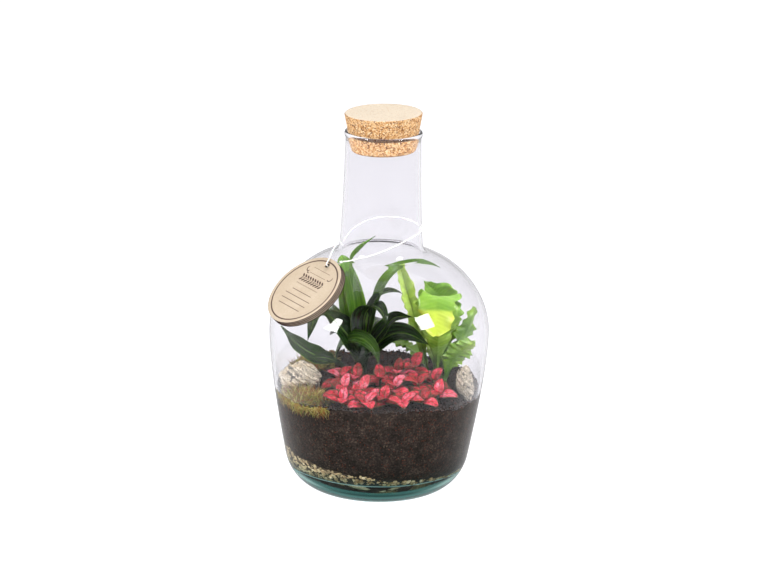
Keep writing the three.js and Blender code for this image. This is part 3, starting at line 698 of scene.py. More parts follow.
cork_outline = np.concatenate([
    [(0, 0)],
    np.linspace((8, 0), (CORK_BOTTOM - CORK_BEVEL, 0), 8),
    np.linspace((CORK_BOTTOM, CORK_BEVEL), (CORK_TOP, CORK_LENGTH - CORK_BEVEL), 44),
    np.linspace((CORK_TOP - CORK_BEVEL, CORK_LENGTH), (0, CORK_LENGTH), 26),
])
cork_points, cork_faces = spun(cork_outline, 180)
out = cork_points * [1, 1, 0]
out /= np.maximum(np.linalg.norm(out, axis=1), 1)[:, None]
on_side = (cork_points[:, 2] > 0.5) & (cork_points[:, 2] < CORK_LENGTH - 0.5)
pits = np.minimum(0, roughness(cork_points, 3.2, 5) - 0.2) * 0.28
cork_points = cork_points + out * (pits * on_side)[:, None]
cork_points[:, 2] += RIM_HEIGHT + CORK_PROUD - CORK_LENGTH
pivot = np.array([0, 0, RIM_HEIGHT])
cork_points = turned(cork_points - pivot, (0, -CORK_TILT, 0)) + pivot
stopper = mesh_piece("pressed_cork", cork_points, cork_faces)
place(stopper, cork_finish(), "cork", "cork_stopper")

# %% [markdown]
# ## Gravel
#
# Light baked-clay gravel drains the bottom, with more of it on the left, painted paler there as painted
# light. A pebble is a small ball of 42 points whose points are pushed in and out at random. Six such
# pebbles are copied many times, each turned and scaled, onto the inside of the glass, where they are
# seen, over a core that fills the middle, painted dark as painted shade between the pebbles.

# %% Tops of the layers
SOIL_LEVEL, GRAVEL_LEVEL = 103, 36


def gravel_top(x, y):
    return GRAVEL_LEVEL - 0.11 * x + 0.03 * y + 1.6 * np.sin(x * 0.13) * np.cos(y * 0.17)


def soil_top(x, y):
    rise = 0.03 * y + 3 * np.exp(-((x + 62) ** 2 + (y - 66) ** 2) / 900) + 7 * smoothstep(-y, 62, 100)
    crumbs = 0.9 * np.sin(x * 0.29 + 1) * np.sin(y * 0.33) + 0.5 * np.cos(x * 0.71 - y * 0.53)
    return SOIL_LEVEL + rise + crumbs


# %% Pebbles
def ball(detail):
    """The points and triangles of a ball with a radius of 1."""
    shape = bmesh.new()
    bmesh.ops.create_icosphere(shape, subdivisions=detail, radius=1)
    points = np.array([corner.co for corner in shape.verts])
    faces = np.array([[corner.index for corner in face.verts] for face in shape.faces])
    shape.free()
    return points, faces


def random_turns(draw, count):
    """Rotation matrices from random quaternions."""
    w, x, y, z = (q := draw.normal(size=(4, count))) / np.linalg.norm(q, axis=0)
    rows = [
        [1 - 2 * (y * y + z * z), 2 * (x * y - w * z), 2 * (x * z + w * y)],
        [2 * (x * y + w * z), 1 - 2 * (x * x + z * z), 2 * (y * z - w * x)],
        [2 * (x * z - w * y), 2 * (y * z + w * x), 1 - 2 * (x * x + y * y)],
    ]
    return np.array(rows).transpose(2, 0, 1)


BIT_KINDS, LUMPY, FLAT = 6, 0.3, 0.75


def scatter(heap, centres, sizes, seed, detail=2):
    """Adds one rough bit for each centre."""
    draw = np.random.default_rng(seed)
    points, faces = ball(detail)
    swells = [1 + LUMPY * roughness(points, 2.4, seed + kind) for kind in range(BIT_KINDS)]
    kinds = np.array([points * swell[:, None] for swell in swells])
    bits = kinds[draw.integers(0, BIT_KINDS, len(centres))] * [1, draw.uniform(0.7, 1), FLAT]
    bits = np.einsum("nij,nvj->nvi", random_turns(draw, len(centres)), bits)
    bits = bits * sizes[:, None, None] + centres[:, None]
    rows = faces[None] + (np.arange(len(centres)) * len(points))[:, None, None]
    tones = np.repeat(draw.uniform(size=(len(centres), 3)), len(points), axis=0)
    heap.add(bits.reshape(-1, 3), [rows.reshape(-1, 3)], tones)


def edge_heights(height_at, turns, level):
    """How high a layer reaches along the glass, if the glass is as wide there as at this level."""
    reach = inner_radius(level)
    return height_at(reach * np.cos(turns), reach * np.sin(turns))


def on_glass(count, low, high_at, seed, gap):
    """Random points just inside the glass, from the height low up to high_at(x, y)."""
    draw = np.random.default_rng(seed)
    turns, shares = draw.uniform(0, 2 * math.pi, count), draw.uniform(0, 1, count)
    height = lerp(low, edge_heights(high_at, turns, level=60), shares)
    return around(inner_radius(height) - gap, turns, height)


layer_turns = full_turn(160)
SHARES = np.linspace(0.06, 1, 26)  # of the way from the axis to the glass


def ringed(rings, bottom, top):
    """A closed shape from rings of (radius, height), which may change from turn to turn."""
    circles = [around(radius, layer_turns, height) for radius, height in rings]
    return capped(np.array(circles), (0, 0, bottom), (0, 0, top))


def surface_ring(share, height_at, lift=0.0, gap=CLEARANCE):
    """The ring of a filling's surface at a share of the way from the axis to the glass."""
    reach = share * (inner_radius(height_at(0.0, 0.0)) - gap)
    height = height_at(reach * np.cos(layer_turns), reach * np.sin(layer_turns)) + lift
    return share * (inner_radius(height) - gap), height


SEATED = 0.4  # a wet filling clings to the glass, so it reaches a little into the inner face


def wall_rings(low, high, levels):
    """The rings of a filling along the glass, at the given shares of the way from low to high."""
    heights = [lerp(low, high, level) for level in levels]
    return [(inner_radius(height) + SEATED, height) for height in heights]


bowl_part = inner[inner[:, 1] < FLOOR_THICKNESS + 6]
floor_line = [(share * bowl_part[0, 0], FLOOR_THICKNESS) for share in (0.3, 0.6, 0.85)]
gravel_rings = [
    (reach + SEATED, height - SEATED) for reach, height in np.concatenate([floor_line, bowl_part])
]
edge_height = surface_ring(1, gravel_top)[1]
gravel_rings += wall_rings(bowl_part[-1, 1], edge_height - SEATED, (0.25, 0.5, 0.75, 1))
for share in SHARES[::-1][1:]:
    reach, height = surface_ring(share, gravel_top)
    gravel_rings.append((reach + SEATED * share, height - SEATED))
gravel = Heap()
gravel.add(*ringed(gravel_rings, FLOOR_THICKNESS - SEATED, gravel_top(0, 0) - SEATED), (0, 0, -1))


def few_on_the_right(centres, seed):
    """Keeps most pebbles on the left, and fewer and fewer towards the right."""
    draw = np.random.default_rng(seed)
    keep = draw.uniform(size=len(centres)) < lerp(0.95, 0.3, smoothstep(centres[:, 0], -60, 60))
    return centres[keep]


wall_pebbles = few_on_the_right(on_glass(1300, 26, gravel_top, seed=3, gap=0.8), seed=4)
pebble_draw = np.random.default_rng(8)
scatter(gravel, wall_pebbles, pebble_draw.uniform(1.2, 2.8, len(wall_pebbles)), seed=21)


def gravel_finish():
    clay = Recipe("clay gravel")
    tone, warm, kind = clay.marks()
    grain = clay.noise(700, 4, 0.7)
    colour = clay.ramp(
        tone * 0.6 + grain * 0.5, (0.2, 0x6E5A3D), (0.45, 0xA98F66), (0.7, 0xD3BE94), (0.95, 0xEBDDBE)
    )
    warmed = clay.mix(warm.between(0.75, 0.95) * 0.5, colour, 0x9B6A3C)
    # painted shade: the core between the pebbles is nearly black
    dark = clay.ramp(grain, (0.35, 0x17110D), (0.65, 0x3A2C22))
    # a mark of -1 stands for the core; pale dust has settled on it where the floor meets the wall
    dust = clay.height().between(0.0234, 0.0228) * kind.between(-0.4, -0.6)
    # painted light: the heap on the left is painted paler, as if it lay in the light
    left = clay.part(clay.place(), 0).between(-0.01, -0.06)
    lit_pebbles = clay.mix(left * 0.3, warmed, 0xE6D2AC)
    shaded = clay.mix(left * 0.3, dark, 0x7A654A)
    layered = clay.mix(kind.between(-0.4, -0.6), lit_pebbles, shaded)
    return clay.finish(clay.mix(dust, layered, 0xB9C4C2), Roughness=0.8, Normal=clay.bump(grain, 0.9))


pebbles = gravel.piece("clay_gravel", smooth=False)
place(pebbles, gravel_finish(), "gravel", "drainage_gravel")

# %% [markdown]
# ## Soil
#
# Potting soil is peat: nearly black, with tan fibres, red-brown bark and a few pale grains. Its body
# is a spun shape roughened in code, with crumbs strewn over its top and along the glass.

# %% Soil
soil_rings = [surface_ring(share, gravel_top, 0.3) for share in SHARES]
under_height, top_height = soil_rings[-1][1], surface_ring(1, soil_top)[1]
soil_rings += wall_rings(under_height, top_height, np.linspace(-0.005, 0.97, 28))
soil_rings.append(surface_ring(1, soil_top, gap=-SEATED))
soil_rings += [surface_ring(share, soil_top) for share in SHARES[::-1][1:]]
soil_points, soil_faces = ringed(soil_rings, gravel_top(0, 0) + 0.3, soil_top(0, 0))
crumbly = roughness(soil_points, 9, 12, 4)
is_top = smoothstep(soil_points[:, 2], SOIL_LEVEL - 6, SOIL_LEVEL - 2)
soil_points[:, 2] += is_top * crumbly * 0.9
soil = Heap()
soil.add(soil_points, soil_faces, (0, 0, 0))

soil_draw = np.random.default_rng(17)
TOP_CRUMBS, EDGE_CRUMBS = 2600, 1100
reach = np.sqrt(soil_draw.uniform(0, 1, TOP_CRUMBS)) * (inner_radius(SOIL_LEVEL) - 2.2)
turns = soil_draw.uniform(0, 2 * math.pi, TOP_CRUMBS)
x, y = reach * np.cos(turns), reach * np.sin(turns)
top_centres = np.stack([x, y, soil_top(x, y) + 0.5], 1)
scatter(soil, top_centres, soil_draw.uniform(0.5, 1.7, TOP_CRUMBS) ** 1.2, seed=51, detail=1)
# more crumbs cling to the glass along the soil's edge
turns = soil_draw.uniform(0, 2 * math.pi, EDGE_CRUMBS)
height = edge_heights(soil_top, turns, SOIL_LEVEL) + soil_draw.uniform(-1.5, 2.6, EDGE_CRUMBS)
edge_centres = around(inner_radius(height) - 0.5, turns, height)
scatter(soil, edge_centres, soil_draw.uniform(0.4, 1.3, EDGE_CRUMBS), seed=52, detail=1)


def soil_finish():
    peat = Recipe("potting soil")
    _, bark, _ = peat.marks()
    grain = peat.noise(520, 4, 0.7)
    clumps = peat.noise(85, 3, 0.6)
    colour = peat.ramp(
        grain * 0.7 + clumps * 0.3, (0.36, 0x13100E), (0.5, 0x2B2420), (0.6, 0x443A33), (0.74, 0x6A5C50)
    )
    speck = peat.cell_value(700)
    shred = peat.cells(700).between(0.5, 0.25)
    reddish = peat.mix(speck.between(0.88, 0.9) * shred, colour, 0x5E2F1F)
    pale = peat.mix(speck.between(0.05, 0.04) * shred * 0.5, reddish, 0x7E6B58)
    barky = peat.mix(bark.between(0.84, 0.9), pale, 0x5A2E22)
    # painted shade: the level top is darker, as it lies in the shade of the plants
    shaded_top = peat.mix(peat.upwards().between(0.2, 0.8) * 0.6, barky, 0x0C0706)
    return peat.finish(
        shaded_top, Roughness=0.95, Specular_IOR_Level=0.15, Normal=peat.bump(grain + clumps, 0.8)
    )


garden_soil = soil.piece("potting_soil")
place(garden_soil, soil_finish(), "soil", "soil")

# %% [markdown]
# ## Stones
#
# Two bits of layered rock. A ball is squeezed to each stone's size, lumps push it in and out, and
# sine waves along one slanting direction cut ledges where the layers end. The same waves colour the
# layers.

# %% Stones
STONES = {
    "left": dict(centre=(-77, -18, 114.5), size=(20.5, 14, 16.5), turn=(4, 8, 14), layers=11, rough=0.09),
    "right": dict(centre=(86, -37, 119), size=(8.6, 7, 19), turn=(8, -7, -24), layers=8, rough=0.12),
}


def stone_piece(name, centre, size, turn, layers, rough):
    rays, faces = ball(6)
    x, y, z = rays.T
    lump = np.sin(x * 4.1 + y * 2.3) * 0.5 + np.sin(y * 5.3 - z * 3.1 + 1) * 0.35
    band = x * 0.55 + z * 0.83
    ledge = np.sin(band * layers) * 0.5 + np.sin(band * layers * 2.3 + 2) * 0.25
    crag = roughness(rays, 0.55, 7, 4)
    fine = np.abs(np.sin(band * layers * 5 + 2.5 * crag)) * 0.25
    swell = 1 + rough * (lump + ledge) + 0.018 * crag - 0.03 * fine
    points = turned(rays * swell[:, None] * size, turn) + centre
    marks = np.stack([band * layers + crag * 0.8, crag, fine], 1)
    return mesh_piece(name, points, [faces], marks)


def stone_finish():
    rock = Recipe("layered stone")
    band, crag, fine = rock.marks()
    streak = rock.noise(1.0, 4, 0.7, at=rock.vector(band * 2.1, crag * 1.4, fine * 2))
    grain = rock.noise(900, 3, 0.7)
    base = rock.ramp(
        streak * 0.75 + grain * 0.25, (0.38, 0x23211F), (0.46, 0x7A7266), (0.53, 0xBDB29C), (0.64, 0xE8DFCC)
    )
    rusty = rock.mix(rock.noise(60, 2).between(0.52, 0.66) * 0.3, base, 0xB3986A)
    sooty = rock.mix(rock.noise(95, 3, 0.7).between(0.56, 0.62) * 0.85, rusty, 0x2C2A28)
    return rock.finish(sooty, Roughness=0.75, Normal=rock.bump(streak * 0.6 + grain * 0.4, 1.2))


layered_rock = stone_finish()
for side, facts in STONES.items():
    place(stone_piece(f"rock_{side}", **facts), layered_rock, "stone", f"layered_stone_{side}")

# %% [markdown]
# ## Leaf blades
#
# Every leaf is a thin closed blade. A midrib is walked step by step: it sets out at an azimuth and a
# rise, and droops and swings aside within the part of its length called bend. The blade is a grid of
# points across that line. Its marks store how far along and across the leaf a point lies, so the
# material can paint veins that follow every curl.

# %% Blades
def midrib(root, azimuth, rise, length, droop=0.0, sweep=0.0, twist=0.0, bend=(0, 1), rows=48):
    """Places and directions along a leaf, as arrays with one row for each step."""

    def heading(share):
        bent = float(smoothstep(share, *bend))
        return azimuth + sweep * bent, rise - droop * bent

    spot = np.array(root, float)
    angle = math.radians(twist)
    places, ups, sides = [], [], []
    for row in range(rows + 1):
        bearing, elevation = heading(row / rows)
        along = direction(bearing, elevation)
        upright = direction(bearing, elevation + 90)
        up = upright * math.cos(angle) + np.cross(along, upright) * math.sin(angle)
        places.append(spot.copy())
        ups.append(up)
        sides.append(np.cross(along, up))
        for part in (0.25, 0.75):
            spot += direction(*heading((row + part) / rows)) * (length / rows / 2)
    return np.array(places), np.array(ups), np.array(sides)


def add_blade(heap, line, half_width, lift, tone, columns, thickness):
    """Adds a blade round a midrib. half_width and lift are given at (share, across)."""
    places, ups, sides = line
    share = np.linspace(0, 1, len(places))[:, None]
    across = np.linspace(-1, 1, columns + 1)[None, :]
    wide = across * half_width(share, np.sign(across))
    raised = lift(share, across)
    thin = thickness * (1 - 0.75 * np.abs(across) ** 3) * (1 - 0.7 * smoothstep(share, 0.85, 1))
    upper = places[:, None] + sides[:, None] * wide[..., None] + ups[:, None] * raised[..., None]
    lower = upper - ups[:, None] * thin[..., None]
    rows, width = len(places), columns + 1
    face = grid_faces(rows, width)
    count, last = rows * width, (rows - 1) * width
    here, column = np.arange(rows - 1) * width, np.arange(columns)
    # the two faces of the blade are joined on the left, on the right, at the root and at the tip
    rims = [
        [here, here + width, count + here + width, count + here],
        [here + columns, count + here + columns, count + here + width + columns, here + width + columns],
        [column + 1, column, count + column, count + column + 1],
        [last + column, last + column + 1, count + last + column + 1, count + last + column],
    ]
    points = np.concatenate([upper.reshape(-1, 3), lower.reshape(-1, 3)])
    marks = np.stack(np.broadcast_arrays(share, across, tone), -1).reshape(-1, 3)
    faces = [face, face[:, ::-1] + count] + [np.stack(rim, -1) for rim in rims]
    heap.add(points, faces, np.concatenate([marks, marks]))


def groove(across, narrow):
    """How deep the midrib lies in the blade: half a millimetre in the middle."""
    return 0.5 * np.exp(-((across * narrow) ** 2))


# %% [markdown]
# ## The dark green plant
#
# A dracaena cutting: long, glossy, pointed leaves that clasp one stem. They are dark with lighter
# stripes along them. Where light falls through them they turn yellow-green: that glow is painted
# light, a lit copy of the leaf colour on some leaves, and subsurface light adds a little to it.

# %% Dracaena
STEM_BASE, STEM_CROWN, STEM_RADIUS = (-17, 8), (-16, 6, 142), 4.2
SHOOT_FOOT, SHOOT_END, SHOOT_RADIUS = (-17, 8, 107), (-43, 3, 126), 2.8
# Angles are in degrees. A leaf without a height grows on the side shoot, bend says between which
# shares of its length it droops, and tone is how much painted light, as of light behind it, turns it
# yellow.
DRACAENA_LEAVES = [
    dict(
        height=30, azimuth=158, rise=79, droop=8, bend=(0.5, 1), length=103, width=28, twist=-65,
        full=0.45, tone=0.9,
    ),
    dict(
        height=32, azimuth=178, rise=82, droop=43, sweep=-178, bend=(0.37, 0.95), length=132, width=17,
        twist=-60, tone=0.58,
    ),
    dict(
        height=36, azimuth=-4, rise=78, droop=116, bend=(0.33, 1.17), length=137, width=14, twist=36,
        tone=0.6,
    ),
    dict(height=36, azimuth=-8, rise=83, droop=128, bend=(0.41, 1.17), length=86, width=15, twist=30),
    dict(height=31, azimuth=-8, rise=55, droop=54, bend=(0.6, 0.85), length=68, width=20, twist=40),
    dict(
        height=27, azimuth=-14, rise=47, droop=74, bend=(0.26, 0.9), length=79, width=26, twist=44,
        tone=0.1,
    ),
    dict(height=32, azimuth=-49, rise=94, droop=215, bend=(0.24, 1.25), length=89, width=28, tone=0.3),
    dict(height=34, azimuth=188, rise=51, droop=126, bend=(0.5, 0.74), length=98, width=22, twist=-40),
    dict(height=28, azimuth=205, rise=60, droop=18, length=71, width=31, twist=-58, tone=0.1),
    dict(azimuth=186, rise=14, droop=-40, length=69, width=19, twist=-52, wave=1.4),
    dict(azimuth=200, rise=26, droop=24, length=27, width=13, twist=-44),
    dict(azimuth=-29, rise=84, droop=188, bend=(-0.09, 1.25), length=80, width=20, twist=30, tone=0.45),
    dict(height=23, azimuth=72, rise=60, droop=84, length=84, width=25),
    dict(height=17, azimuth=118, rise=52, droop=84, length=82, width=23),
]


def leaf_root(height, azimuth):
    if height is None:
        return np.array(SHOOT_END, float)
    foot = np.array([*STEM_BASE, SOIL_LEVEL], float)
    on_axis = lerp(foot, np.array(STEM_CROWN, float), height / (STEM_CROWN[2] - SOIL_LEVEL))
    return on_axis + direction(azimuth, 0) * STEM_RADIUS / 2


def add_dracaena_leaf(heap, index, azimuth, width, height=None, wave=0.5, full=0.9, tone=0.35, **bends):
    def half_width(share, edge):
        swell = np.sin(math.pi * share**0.72).clip(0) ** full
        return np.maximum(0.35, width / 2 * np.maximum(swell, 0.2 * (1 - share)))

    def lift(share, across):
        ripple = wave * across * np.sin(share * 17 + index)
        fold = 0.3 * np.sqrt(across**2 + 0.004) * half_width(share, 0)
        return fold + ripple - groove(across, 9)

    line = midrib(leaf_root(height, azimuth), azimuth, **bends)
    add_blade(heap, line, half_width, lift, tone, columns=14, thickness=0.7)


def dracaena_finish():
    leaf = Recipe("dracaena leaf")
    along, across, tone = leaf.marks()
    stripes = leaf.noise(1, 3, 0.55, at=leaf.vector(along * 1.2, across * 9, tone * 31))
    fine = leaf.noise(1, 2, 0.5, at=leaf.vector(along * 3, across * 42, tone * 17))
    shade = stripes * 0.8 + fine * 0.35 - 0.08
    dark = leaf.ramp(shade, (0.3, 0x071306), (0.5, 0x122A09), (0.68, 0x234610), (0.88, 0x466C1E))
    lit = leaf.ramp(shade, (0.26, 0x3A6A16), (0.46, 0x54881A), (0.62, 0x76A228), (0.8, 0xA4C04C))
    # painted light: leaves with a high tone take the lit yellow-green colour, as if light fell through them
    colour = leaf.mix(tone.between(0.3, 0.85) * across.size().between(2, 0.5), dark, lit)
    ribbed = leaf.mix(across.size().between(0.09, 0.03) * 0.35, colour, 0x7E9E48)
    rim = leaf.mix(across.size().between(0.93, 1.0) * 0.4, ribbed, 0x84A24E)
    gloss = fine.between(0.35, 0.7) * 0.14 + 0.14
    return leaf.finish(
        rim, Roughness=gloss, Coat_Weight=0.4, Coat_Roughness=0.08, Normal=leaf.bump(fine + stripes, 0.6),
        Subsurface_Weight=0.35, Subsurface_Radius=(0.9, 1.0, 0.25), Subsurface_Scale=0.0012,
    )


dracaena = Heap()
for index, facts in enumerate(DRACAENA_LEAVES):
    add_dracaena_leaf(dracaena, index, **facts)
STEM_MARKS = (0.2, 0.4, 0.2)  # so that the stem is painted like a dark part of a leaf
foot_height, crown_height = soil_top(*STEM_BASE), STEM_CROWN[2]
stem_heights = [foot_height - 14, foot_height + 8, crown_height - 14, crown_height]
corners = zip([STEM_BASE, STEM_BASE, STEM_CROWN[:2], STEM_CROWN[:2]], stem_heights)
stem_line = rounded([(*spot, height) for spot, height in corners], 3)
stem_radius = np.interp(stem_line[:, 2], stem_heights, np.array([1, 1, 1.5, 1.2]) * STEM_RADIUS)
dracaena.add(*tube(stem_line, stem_radius, 20), STEM_MARKS)
dracaena.add(*tube(np.linspace(SHOOT_FOOT, SHOOT_END, 12), SHOOT_RADIUS, 16), STEM_MARKS)
place(dracaena.piece("dracaena_plant"), dracaena_finish(), "dark_leaf", "dracaena")

# %% [markdown]
# ## The light green plant
#
# A young bird's-nest fern with crisped fronds. Each frond has its own seat round the crown. The
# margin is drawn with notches, and a ripple that grows towards the margin crimps the blade.

# %% Fern
FERN_CENTRE, FERN_RING = (60, 12), 8
FERN_FRONDS = [
    dict(seat=180, azimuth=170, rise=76, droop=4, length=125, width=15, twist=-70, fold=0.8, tip=0.5),
    dict(seat=62, azimuth=32, rise=91, droop=-46, bend=(0.63, 0.85), length=114, width=38, twist=66),
    dict(seat=-94, azimuth=-94, rise=80, droop=157, bend=(0.62, 0.8), length=147, width=39, tip=0.6),
    dict(seat=10, azimuth=14, rise=68, length=82, width=24, twist=-60),
    dict(seat=-42, azimuth=-18, rise=75, droop=42, length=57, width=27, twist=-50),
    dict(seat=114, azimuth=80, rise=72, droop=84, length=76, width=30),
    dict(seat=148, azimuth=160, rise=72, droop=70, length=60, width=24),
]


def frond_heap(index, seat, width, azimuth, fold=0.0, tip=0.12, **bends):
    base = np.array(FERN_CENTRE) + direction(seat, 0)[:2] * FERN_RING
    ground = soil_top(*base)

    def half_width(share, edge):
        blade = smoothstep(share, 0.12, 0.5) * (1 - (1 - tip) * smoothstep(share, 0.72, 1))
        notch = 0.13 * np.sin(share * 31 + edge * 1.3) + 0.08 * np.sin(share * 83 + edge * 2)
        close = np.sqrt(np.clip((1 - share) / 0.05, 0, 1))
        return lerp(1.6, width / 2, blade) * (1 + notch * blade) * np.maximum(close, 0.25)

    def lift(share, across):
        ripple = 2.2 + 2.4 * np.sin(share * 23 + across * 2 + index) + 1.5 * np.sin(share * 61 + across * 3)
        trough = fold * np.abs(across) * half_width(share, 0)
        ribs = 0.06 * np.sin(share * 240 - np.abs(across) * 9)
        return across**2 * smoothstep(share, 0.15, 0.5) * ripple + trough - groove(across, 8) + ribs

    heap = Heap()
    line = midrib([*base, ground + 2], azimuth, rows=110, **bends)
    add_blade(heap, line, half_width, lift, (index * 0.37 + 0.2) % 1, columns=16, thickness=0.6)
    stalk = np.linspace([*base, ground - 12], [*base, ground + 5], 8)
    heap.add(*tube(stalk, np.linspace(1.9, 1.5, len(stalk)), 12), (0.1, 0, 0.5))
    return heap


def fern_finish():
    leaf = Recipe("fern frond")
    along, across, tone = leaf.marks()
    mottle = leaf.noise(60, 3)
    ribs = (along * 240 - across.size() * 9).sine() * 0.5 + 0.5
    shade = mottle * 0.7 + tone * 0.2 + ribs * 0.08
    green = leaf.ramp(shade, (0.3, 0x3E661A), (0.48, 0x658C26), (0.64, 0x89AA38), (0.82, 0xB2C85C))
    # tone tells the fronds apart: the narrow one on the left is young, and still pale
    young = tone.between(0.3, 0.22) * along.between(0.1, 0.4)
    colour = leaf.mix(young * 0.75, green, 0xC2DC72)
    # painted shade: each frond darkens towards its base, in the shade of the crown
    painted_shade = leaf.mix(along.between(0.5, 0.1) * 0.75, colour, 0x2F541A)
    ribbed = leaf.mix(across.size().between(0.1, 0.02) * 0.4, painted_shade, 0x5B7F2C)
    # painted light: the two broad fronds turn paler green, and the curled tip of the longest yellow-green,
    # as if light fell through them
    broad = tone.between(0.5, 0.54) * tone.between(0.62, 0.58) + tone.between(0.9, 0.93)
    glowing = leaf.mix(broad * along.between(0.4, 0.62) * 0.6, ribbed, 0x6E9E30)
    tip = leaf.mix(tone.between(0.9, 0.93) * along.between(0.81, 0.84) * 0.9, glowing, 0xB4C644)
    return leaf.finish(
        tip, Roughness=0.3, Normal=leaf.bump(ribs * 0.15 + mottle, 0.7), Coat_Weight=0.3,
        Coat_Roughness=0.15, Subsurface_Weight=0.3, Subsurface_Radius=(0.9, 1.0, 0.3),
        Subsurface_Scale=0.0012,
    )


fern_green = fern_finish()
for index, facts in enumerate(FERN_FRONDS):
    frond = frond_heap(index, **facts).piece(f"frond_{index + 1}")
    place(frond, fern_green, "light_leaf", f"fern_frond_{index + 1}")

# %% [markdown]
# ## The red creeper
#
# Fittonia, the nerve plant, creeps on thin runners and lifts short stems with leaf pairs, each pair
# a quarter turn from the last. Its leaves are pink with a net of olive veins and a green margin. The
# quilted look comes from the veins lying a little deeper than the skin between them.

# %% Fittonia
# x, y, height and turn
FITTONIA_STEMS = [
    (-38, -18, 14, 10), (-33, -42, 11, 50), (-34, -70, 8, 70), (-12, -77, 6, 20), (-15, -50, 14, 40),
    (-21, -25, 17, 70), (2, -34, 18, 100), (6, -64, 9, 60), (24, -76, 6, 10), (17, -46, 15, 25),
    (20, -22, 22, 80), (36, -13, 26, 45), (40, -40, 17, 15), (45, -69, 9, 50), (60, -50, 10, 75),
    (55, -28, 17, 30),
]
# share of the stem's height, rise, droop, size, and a number that the stem's index is a multiple of
LEAF_PAIRS = [(0.5, 12, 42, 1, 3), (0.8, 26, 56, 1, 1), (0.98, 54, 48, 0.78, 1)]
LEAF_LENGTH, LEAF_WIDTH, LEAN = 22.5, 16, 24


def lehmer(seed):
    """The same simple random numbers that laid out the solids."""
    while True:
        seed = seed * 16807 % 2147483647
        yield seed / 2147483647


def add_fittonia_leaf(heap, root, azimuth, rise, droop, size, draws):
    size *= lerp(0.88, 1.1, next(draws))
    length = LEAF_LENGTH * size
    far = root[:2] + direction(azimuth, 0)[:2] * length * 0.85
    ground = max(soil_top(*root[:2]), soil_top(*far))
    fall = min(1, (root[2] - ground - 3) / length)
    lowest = droop / 2 - math.degrees(math.asin(fall))
    tipped = rise + lerp(-8, 8, next(draws)) + LEAN * math.sin(math.radians(azimuth))
    twist = LEAN * math.cos(math.radians(azimuth)) + lerp(-10, 10, next(draws))

    def half_width(share, edge):
        blade = np.sin(math.pi * np.minimum(1, 0.06 + 0.94 * share) ** 0.78).clip(0)
        return size * np.maximum(0.35, LEAF_WIDTH / 2 * blade**0.9)

    def lift(share, across):
        cup = 0.12 * np.abs(across) * half_width(share, 0)
        veins = np.abs(np.sin((share * 5.5 - np.abs(across) * 1.5) * math.pi)) ** 0.6
        quilt = 0.55 * veins * (1 - across**2) * np.sin(math.pi * share.clip(0, 1))
        return cup + quilt - groove(across, 7)

    line = midrib(root, azimuth, max(tipped, lowest), length, droop=droop, twist=twist, rows=26)
    tone = (root[0] * 0.17 + azimuth * 0.013) % 1
    add_blade(heap, line, half_width, lift, tone, columns=14, thickness=0.6)


def fittonia_finish():
    leaf = Recipe("fittonia leaf")
    along, across, tone = leaf.marks()
    side = across.size()
    rib = side.between(0.1, 0.04)
    curve = (along * 5.5 - side * 1.5) * math.pi
    laterals = curve.sine().size().between(0.4, 0.1)
    net = leaf.cells(1, "DISTANCE_TO_EDGE", at=leaf.vector(along * 12, across * 7, tone * 40))
    vein = rib.most(laterals * 0.9).most(net.between(0.14, 0.03) * 0.75)
    margin = side.between(0.72, 0.88).most(along.between(0.84, 0.95)).most(along.between(0.1, 0.0))
    blush = leaf.noise(230, 2)
    pink = leaf.ramp(
        blush * 0.7 + tone * 0.3, (0.32, 0x700018), (0.46, 0xBA0830), (0.58, 0xF02450), (0.72, 0xFF88A4)
    )
    veined = leaf.mix(vein * 0.82, pink, 0x4A3C18)
    colour = leaf.mix(margin * 0.94, veined, 0x26340F)
    return leaf.finish(
        colour, Roughness=0.36, Coat_Weight=0.15, Normal=leaf.bump(1 - vein, 0.5), Subsurface_Weight=0.12,
        Subsurface_Radius=(1.0, 0.3, 0.2), Subsurface_Scale=0.0006,
    )


creeper = Heap()
RUNNER_MARKS = (0.5, 1, 0.1)  # so that stems and runners are painted like the margin of a leaf
draws = lehmer(11)
for index, (x, y, height, turn) in enumerate(FITTONIA_STEMS):
    ground = soil_top(x, y)
    stem = np.linspace([x, y, ground - 7], [x, y, ground + height], 10)
    creeper.add(*tube(stem, 1.0, 10), RUNNER_MARKS)
    if index:
        last_x, last_y = FITTONIA_STEMS[index - 1][:2]
        runner = np.linspace([last_x, last_y, soil_top(last_x, last_y) + 3], [x, y, ground + 3], 10)
        creeper.add(*tube(runner, 0.85, 10), RUNNER_MARKS)
    for level, (share, rise, droop, size, every) in enumerate(LEAF_PAIRS):
        if index % every:
            continue
        for half in (0, 180):
            azimuth = turn + 90 * level + half + lerp(-16, 16, next(draws))
            root = [x, y, ground + height * share]
            add_fittonia_leaf(creeper, root, azimuth, rise, droop, size, draws)
place(creeper.piece("fittonia_plant"), fittonia_finish(), "red_leaf", "fittonia")

# %% [markdown]
# ## Moss
#
# Two tufts of stringy moss. Each strand is a thin tapering tube that curls as it rises, and a low
# cushion closes the gaps between them; it is painted dark, as painted shade between the strands. More
# strands hang down between the soil and the glass. They run from yellow-green to rust.

# %% Moss
MOSSES = {
    "front": dict(centre=(-71, -50, 103.5), size=(27, 18, 3.8), turn=-38, hanging=(-164, -119), seed=41),
    "back": dict(centre=(-66, 48, 106.5), size=(28, 18, 3.6), turn=38, hanging=(112, 160), seed=87),
}
STRAND_COUNT, STRAND_STEPS = 1100, 5
HANGING_COUNT, HANGING_DEPTH = 260, 0.5


def keep_in_glass(points, gap):
    """Moves points that would cross the glass back inside it."""
    reach = np.linalg.norm(points[:, :2], axis=1)
    most = inner_radius(points[:, 2]) - gap
    points[:, :2] *= np.minimum(1, most / np.maximum(reach, 1))[:, None]


def add_strand(heap, line, thick, thin, draw):
    marks = (draw.uniform(), draw.uniform(), 1)
    heap.add(*tube(line, np.linspace(thick, thin, len(line)), 4), marks)


